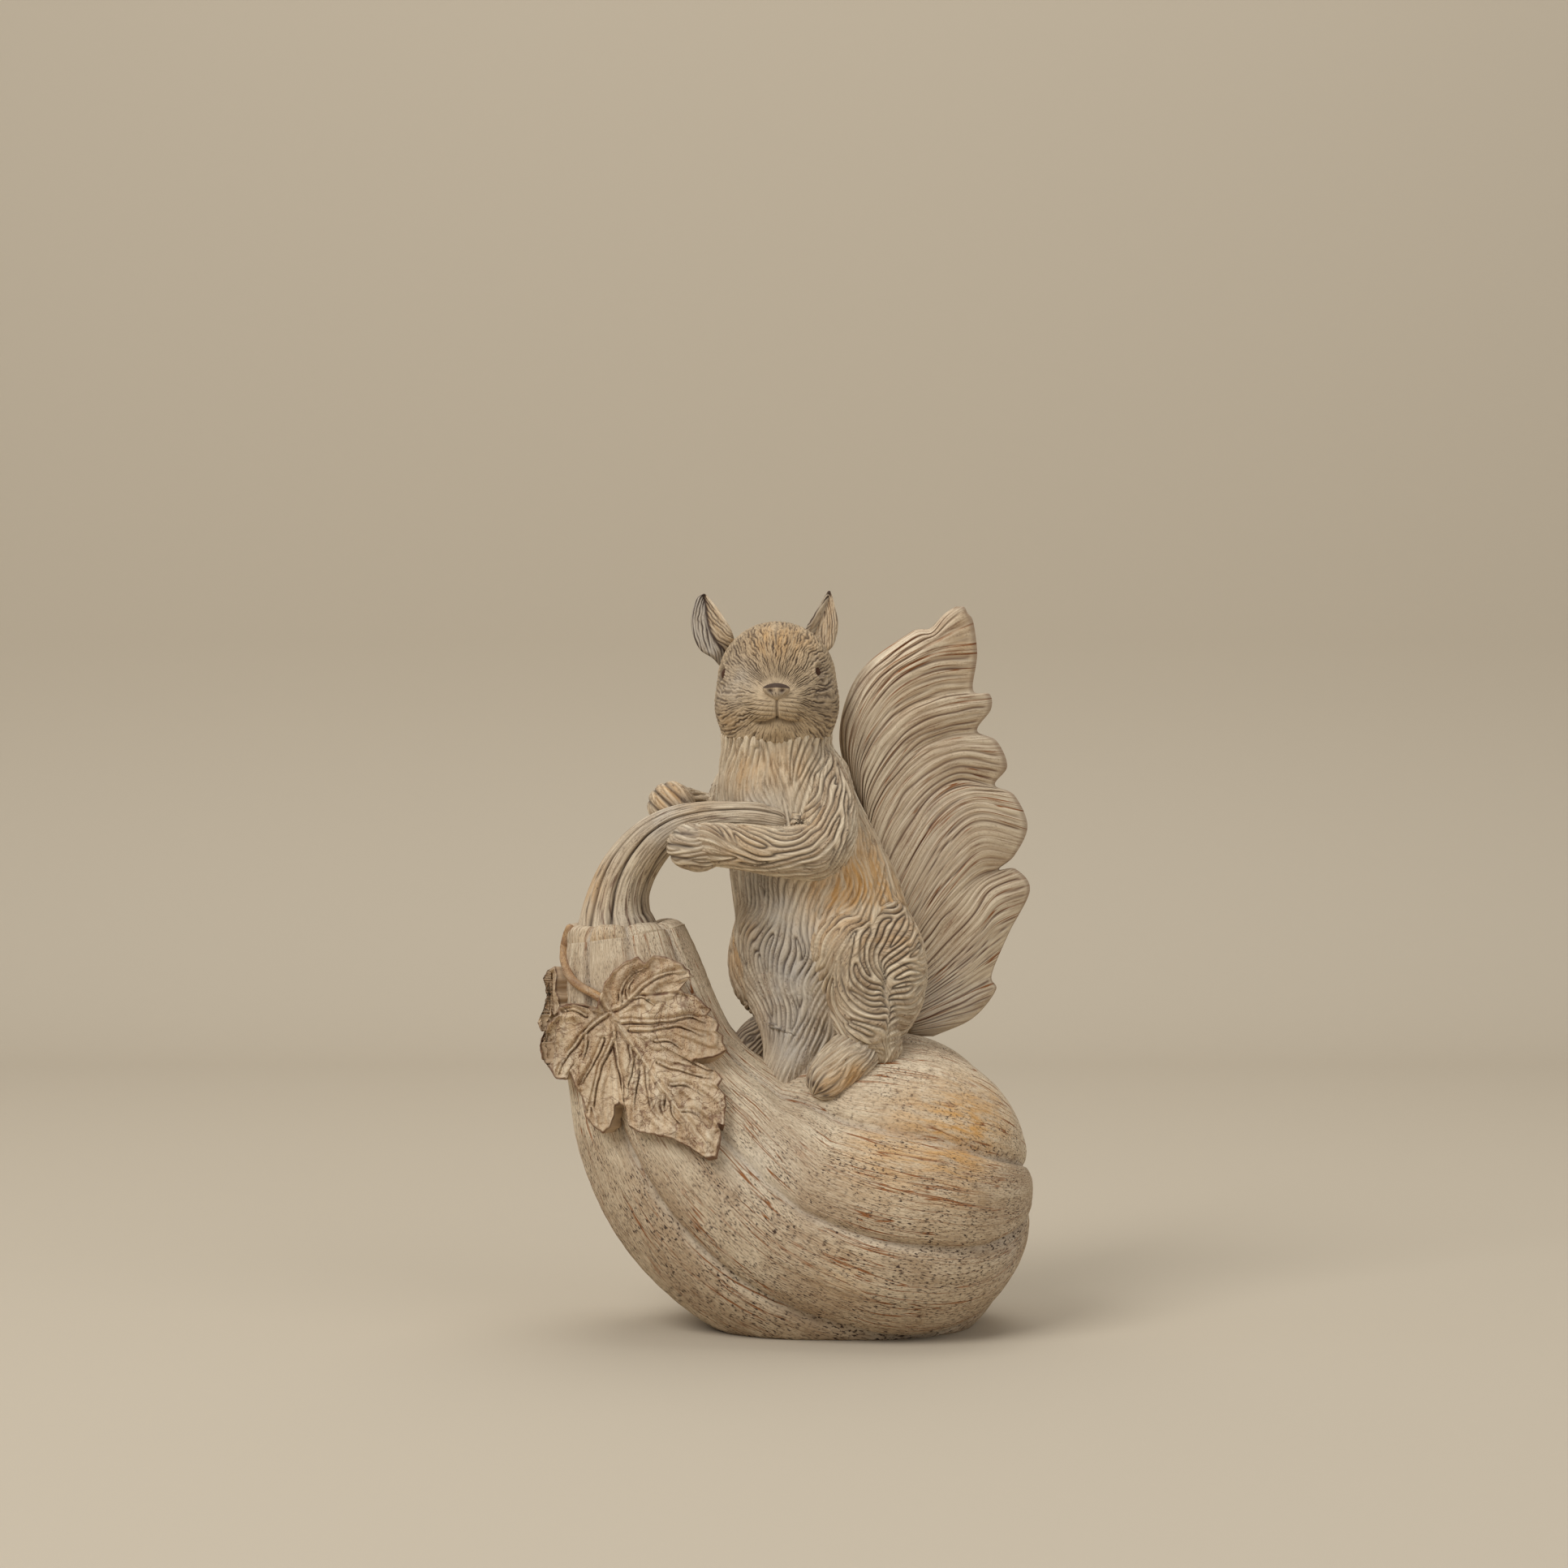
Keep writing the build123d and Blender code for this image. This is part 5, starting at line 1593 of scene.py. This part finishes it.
# the leaf, drawn on a sheet whose corner and scale place it in the picture
leafSizes = dict(
    corner=(655.0, 1130.0),
    scale=4.916,  # spots of the sheet to a dot of the picture
    lift=2.4,
    # for the blade and the flap: outline, middle, rows and columns, edge lift, width of the dark rim, seed
    blade=dict(
        outline=[
            (428, 452), (440, 400), (490, 330), (560, 275), (650, 235), (688, 282), (740, 230),
            (820, 240), (900, 275), (945, 310), (985, 360), (938, 388), (905, 432), (935, 462),
            (990, 470), (1040, 515), (1085, 560), (1062, 592), (1110, 612), (1142, 650), (1130, 690),
            (1165, 722), (1160, 760), (1190, 805), (1130, 838), (1060, 855), (1000, 862), (978, 880),
            (1062, 925), (1110, 930), (1155, 980), (1132, 1030), (1170, 1080), (1182, 1140), (1165, 1262),
            (1130, 1250), (1152, 1330), (1125, 1400), (1120, 1452), (1060, 1462), (960, 1395),
            (850, 1342), (740, 1320), (640, 1300), (590, 1268), (572, 1215), (560, 1150), (530, 1128),
            (500, 1150), (498, 1210), (470, 1280), (430, 1310), (370, 1270), (328, 1210), (322, 1130),
            (300, 1085), (270, 1040), (240, 960), (220, 940), (210, 985), (150, 985), (110, 920),
            (60, 860), (50, 780), (70, 700), (105, 640), (160, 590), (165, 545), (210, 524), (265, 522),
            (345, 538), (350, 562), (395, 545), (410, 490),
        ],
        middle=(470.0, 610.0),
        size=(140, 540),
        edgeLift=2.8,
        rim=1.0,
        seed=111,
    ),
    flap=dict(
        outline=[
            (60, 695), (36, 640), (70, 560), (88, 490), (84, 420), (68, 370), (98, 320), (140, 298),
            (152, 350), (142, 440), (165, 500), (178, 575), (110, 612),
        ],
        middle=(112.0, 480.0),
        size=(56, 200),
        edgeLift=1.2,
        rim=0.5,
        seed=121,
    ),
    # the width of each vein, then its spots from the stalk outward
    veins=[
        (11, (420, 470), (480, 580), (600, 760), (720, 930), (830, 1090), (940, 1230), (1090, 1420)),
        (9, (490, 560), (590, 500), (690, 405), (790, 350), (930, 325)),
        (8, (545, 632), (700, 632), (850, 622), (960, 600), (1050, 635)),
        (7, (600, 684), (780, 672), (870, 655), (960, 680), (1080, 735)),
        (8, (470, 585), (390, 640), (330, 690), (270, 770), (200, 860), (160, 950)),
        (8, (500, 650), (490, 760), (430, 870), (390, 1000), (370, 1150), (400, 1270)),
        (7, (505, 700), (520, 850), (548, 1000), (545, 1110)),
        (6, (600, 790), (610, 880), (585, 1000), (575, 1100)),
        (6, (640, 850), (640, 980), (615, 1120), (620, 1230)),
        (6, (700, 920), (712, 1060), (735, 1170), (820, 1260)),
        (5, (800, 1080), (800, 1180), (860, 1260)),
        (5, (850, 1120), (860, 1200), (930, 1290)),
        (5, (750, 750), (830, 750), (910, 795)),
        (6, (770, 885), (900, 925), (1000, 960), (1110, 975)),
        (5, (840, 1012), (930, 1015), (1010, 1060), (1100, 1130)),
        (5, (900, 1170), (980, 1180), (1080, 1260)),
        (5, (540, 520), (545, 430), (600, 345), (680, 310)),
        (5, (590, 495), (580, 425), (640, 340)),
        (5, (620, 492), (680, 488), (745, 535)),
        (5, (330, 600), (260, 560), (190, 570)),
        (6, (330, 690), (330, 780), (310, 860)),
        (6, (430, 740), (380, 860), (300, 1000)),
        (6, (110, 600), (115, 480), (112, 340)),
    ],
    folds=[
        ((640, 486), (740, 468), (885, 462)),
        ((850, 882), (970, 912)),
        ((165, 548), (265, 525), (345, 540)),
    ],
)


# distance on the sheet to a bent line, the least over its straight parts, how far along it that is, from
# 0 to 1, and 1 on its lower side or 0 on the other
def lineGap(x, y, line):
    gap, share, below = np.full(x.shape, 1e9), np.zeros(x.shape), np.zeros(x.shape)
    for k, ((ax, ay), (bx, by)) in enumerate(zip(line[:-1], line[1:])):
        t = held(((x - ax) * (bx - ax) + (y - ay) * (by - ay)) / ((bx - ax) ** 2 + (by - ay) ** 2))
        here = np.hypot(x - ax - t * (bx - ax), y - ay - t * (by - ay))
        share = np.where(here < gap, (k + t) / (len(line) - 1), share)
        under = ((bx - ax) * (y - ay) - (by - ay) * (x - ax)) * (1 if bx > ax else -1) > 0
        below = np.where(here < gap, under, below)
        gap = np.minimum(gap, here)
    return gap, share, below


# how far a place on the sheet is on a vein and beside one, from 0 to 1, and its distance to the nearest
# vein
def veinMasks(x, y):
    vein, beside, swell = np.zeros(x.shape), np.zeros(x.shape), np.full(x.shape, 1e9)
    for wide, *line in leafSizes["veins"]:
        gap, along, below = lineGap(x, y, curveThrough(line, 16))
        wide = wide * (1.25 - 0.75 * along)
        vein = np.maximum(vein, hill(gap, wide) * np.sqrt(wide / 9))
        shown = smooth(1.0, 0.75, along) * (0.2 + 0.8 * below)
        beside = np.maximum(beside, hill(gap - wide * 1.9, wide * 0.6) * shown)
        swell = np.minimum(swell, gap)
    for line in leafSizes["folds"]:
        gap, along = lineGap(x, y, curveThrough(line, 12))[:2]
        beside = np.maximum(beside, 1.5 * hill(gap, 8) * smooth(0.0, 0.15, along))
    return vein, beside, swell


# one blade of the leaf: rows from its middle to its outline, over a rolled edge and back down into the
# gourd. The blade swells between its veins and sinks beside them. Gives the grid, flow coordinates,
# groove and tone
def leafGrid(part):
    outline, middle, seed = part["outline"], part["middle"], part["seed"]
    rows, cols = [counted(n) for n in part["size"]]
    loop = np.array(outline + outline[:1], float)
    steps = np.concatenate([[0.0], np.cumsum(np.linalg.norm(np.diff(loop, axis=0), axis=1))])
    at = np.linspace(0, steps[-1], cols, endpoint=False)
    edge = np.stack([np.interp(at, steps, loop[:, k]) for k in (0, 1)], axis=-1)
    tooth = 6.0 * ripple(at / 26.0, 0.5, seed) + 4.0 * ripple(at / 11.0, 0.5, seed + 1)
    edge = edge + unit(edge - np.array(middle)) * tooth[:, None]
    dense = rows // 4  # rows for the last tenth
    inner, outer = np.linspace(0.01, 0.9, rows - dense), np.linspace(0.9, 1.0, dense + 1)[1:]
    share = np.concatenate([inner, outer])[:, None]
    x, y = [middle[k] + (edge[:, k] - middle[k]) * share for k in (0, 1)]
    toEdge = np.hypot(*(edge - np.array(middle)).T) * (1 - share) / leafSizes["scale"] * dotSize
    wobble = [5 * ripple(x / 60, y / 60, seed + k) for k in (6, 7)]
    vein, beside, swell = veinMasks(x + wobble[0], y + wobble[1])
    waves = ripple(x / 70.0, y / 90.0, seed + 2)
    ruffle = ripple(at / 60.0, 0.5, seed + 4)[None, :] + 0.6 * ripple(at / 24.0, 0.5, seed + 5)[None, :]
    lift = leafSizes["lift"] + part["edgeLift"] * share**2.5 * (1 + 0.4 * ruffle)
    lift = lift + 0.9 * waves * smooth(0.1, 0.5, share)
    lift = lift + 1.5 * vein - 0.9 * held(beside) + 1.1 * smooth(4, 34, swell) * smooth(70, 40, swell)
    lift = lift + 0.6 * hill(toEdge - 0.9, 0.7) - 0.6 * smooth(0.4, 0.0, toEdge)
    (cornerX, cornerY), scale = leafSizes["corner"], leafSizes["scale"]
    top = onGourd(cornerX + x / scale, cornerY + y / scale, lift)
    # from the edge straight down to just under the gourd's skin, and then inward
    down = -offGourd(top[-1:]) * (lift[-1:, :, None] + 1.2)
    under = [top[-1:] + down * s for s in (0.12, 0.3, 0.55, 0.8, 1.0)]
    root = top[:1].mean(axis=1, keepdims=True)
    grid = np.concatenate([top, *under, under[-1] * 0.55 + (root - offGourd(root) * 5.0) * 0.45])
    extra = len(grid) - len(top)
    tail = lambda mask, value: np.concatenate([mask, np.full((extra, cols), 1.0) * value])
    wall = 0.15 + 0.75 * smooth(1150, 1270, edge[:, 1]) * smooth(560, 640, edge[:, 0])
    broken = smooth(-0.5, 0.5, ripple(x / 28.0, y / 28.0, seed + 8))
    worn = 0.6 + 0.4 * smooth(-0.4, 0.6, ripple(at / 30.0, 0.5, seed + 9))
    dark = held(0.8 * beside * (0.15 + 0.85 * broken) + smooth(1.2 * part["rim"], 0.2, toEdge) * worn)
    blotch = 0.12 * smooth(-0.2, 0.7, ripple(x / 110, y / 110, 127))
    dark = held(tail(held(dark - 0.9 * vein), wall) + tail(blotch, 0.0))
    tone = tail(held(0.5 + 0.8 * vein + 0.5 * waves), 0.5 - 0.3 * wall)
    return grid, tail(x / scale * dotSize, 0.0), tail(y / scale * dotSize, 0.0), dark, tone


leaf = Shell()
for part in ("blade", "flap"):
    arrays = leafGrid(leafSizes[part])
    # the columns run so that the faces point outward, towards the camera
    backwards = normalsOf(arrays[0])[3:30].mean(axis=(0, 1))[1] > 0
    grid, u, v, dark, tone = [array[:, ::-1] if backwards else array for array in arrays]
    leaf.add(grid, u, v, groove=dark, tone=tone, stain=0.2)
leaf.build("gourdLeaf", "leaf", leafPaint)

stalkSizes = dict(
    # spots of the picture from the crown to the leaf
    path=[
        (702, 1144), (697, 1158), (695, 1178), (699, 1196), (707, 1209), (721, 1219), (735, 1226),
        (745, 1234),
    ],
    lift=(0.6, 2.2),
    radius=1.5,
    rows=120,
    cols=28,
    capRows=8,
)
table = curveThrough(stalkSizes["path"], counted(70))
path = onGourd(table[:, 0], table[:, 1], np.linspace(*stalkSizes["lift"], len(table)))
path = evenCurve(path[:: max(1, len(path) // 12)], counted(stalkSizes["rows"]))
capRows = counted(stalkSizes["capRows"])
centres, ways, angle = tubeRays(path, (0, 0, 1), counted(stalkSizes["cols"]), capRows, capRows)
run = rowRun(centres + ways)
radius = stalkSizes["radius"] * (1 + 0.12 * ripple(angle * 2, run / 5, 131))
stalk = Shell()
groove = 0.4 + 0.3 * ripple(angle, run / 4, 132)
grid = centres + ways * radius[..., None]
stalk.add(grid, angle * stalkSizes["radius"], run, groove=groove, tone=0.2, stain=0.6)
stalk.build("gourdLeafStalk", "leaf_stalk", leafPaint)

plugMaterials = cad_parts["foot_plug"].data.materials
plugMaterials.clear()
plugMaterials.append(plugPaint())
report("foot plug finish")

# a floor that bends up into a wall behind, in metres
floorSizes = dict(half=4.0, back=1.3, tall=3.6, bend=0.3)
half, back, tall, bend = floorSizes.values()
angles = np.linspace(0, math.pi / 2, 12)
bendY, bendZ = back - bend + bend * np.sin(angles), bend - bend * np.cos(angles)
profile = np.concatenate([[[-half, 0.0]], np.stack([bendY, bendZ], axis=1), [[back, tall]]])
sheet = [(x, y, z) for y, z in profile for x in (-half, half)]
faces = [(2 * k, 2 * k + 1, 2 * k + 3, 2 * k + 2) for k in range(len(profile) - 1)]
floorMesh = bpy.data.meshes.new("floor")
floorMesh.from_pydata(sheet, [], faces)
floorMesh.polygons.foreach_set("use_smooth", np.ones(len(faces), dtype=bool))
floor = bpy.data.objects.new("floor", floorMesh)
bpy.context.collection.objects.link(floor)
floorPaint = bpy.data.materials.new("floorPaint")
floorPaint.use_nodes = True
floorShader = next(n for n in floorPaint.node_tree.nodes if n.type == "BSDF_PRINCIPLED")
floorShader.inputs["Base Color"].default_value = paints["floor"]
floorShader.inputs["Roughness"].default_value = 0.9
floorMesh.materials.append(floorPaint)

# place, width and power of each soft lamp, what they aim at, and the world's own light
lampSizes = dict(
    key=((-1.2, -1.4, 1.8), 1.2, 36.0),
    fill=((1.6, -1.5, 1.0), 1.8, 11.0),
    top=((0.1, 0.5, 1.9), 1.4, 13.0),
)
aim, worldPower = Vector((0.0, 0.0, 0.13)), 0.36
for name, (spotAt, width, power) in lampSizes.items():
    lampData = bpy.data.lights.new(name + "Lamp", "AREA")
    lampData.size = width
    lampData.energy = power
    lamp = bpy.data.objects.new(name + "Lamp", lampData)
    lamp.location = spotAt
    lamp.rotation_euler = (aim - Vector(spotAt)).to_track_quat("-Z", "Y").to_euler()
    bpy.context.collection.objects.link(lamp)
world = bpy.data.worlds.new("studio")
bpy.context.scene.world = world
world.use_nodes = True
worldLight = next(n for n in world.node_tree.nodes if n.type == "BACKGROUND")
worldLight.inputs["Color"].default_value = (1, 1, 1, 1)
worldLight.inputs["Strength"].default_value = worldPower
report("stage and lamps")
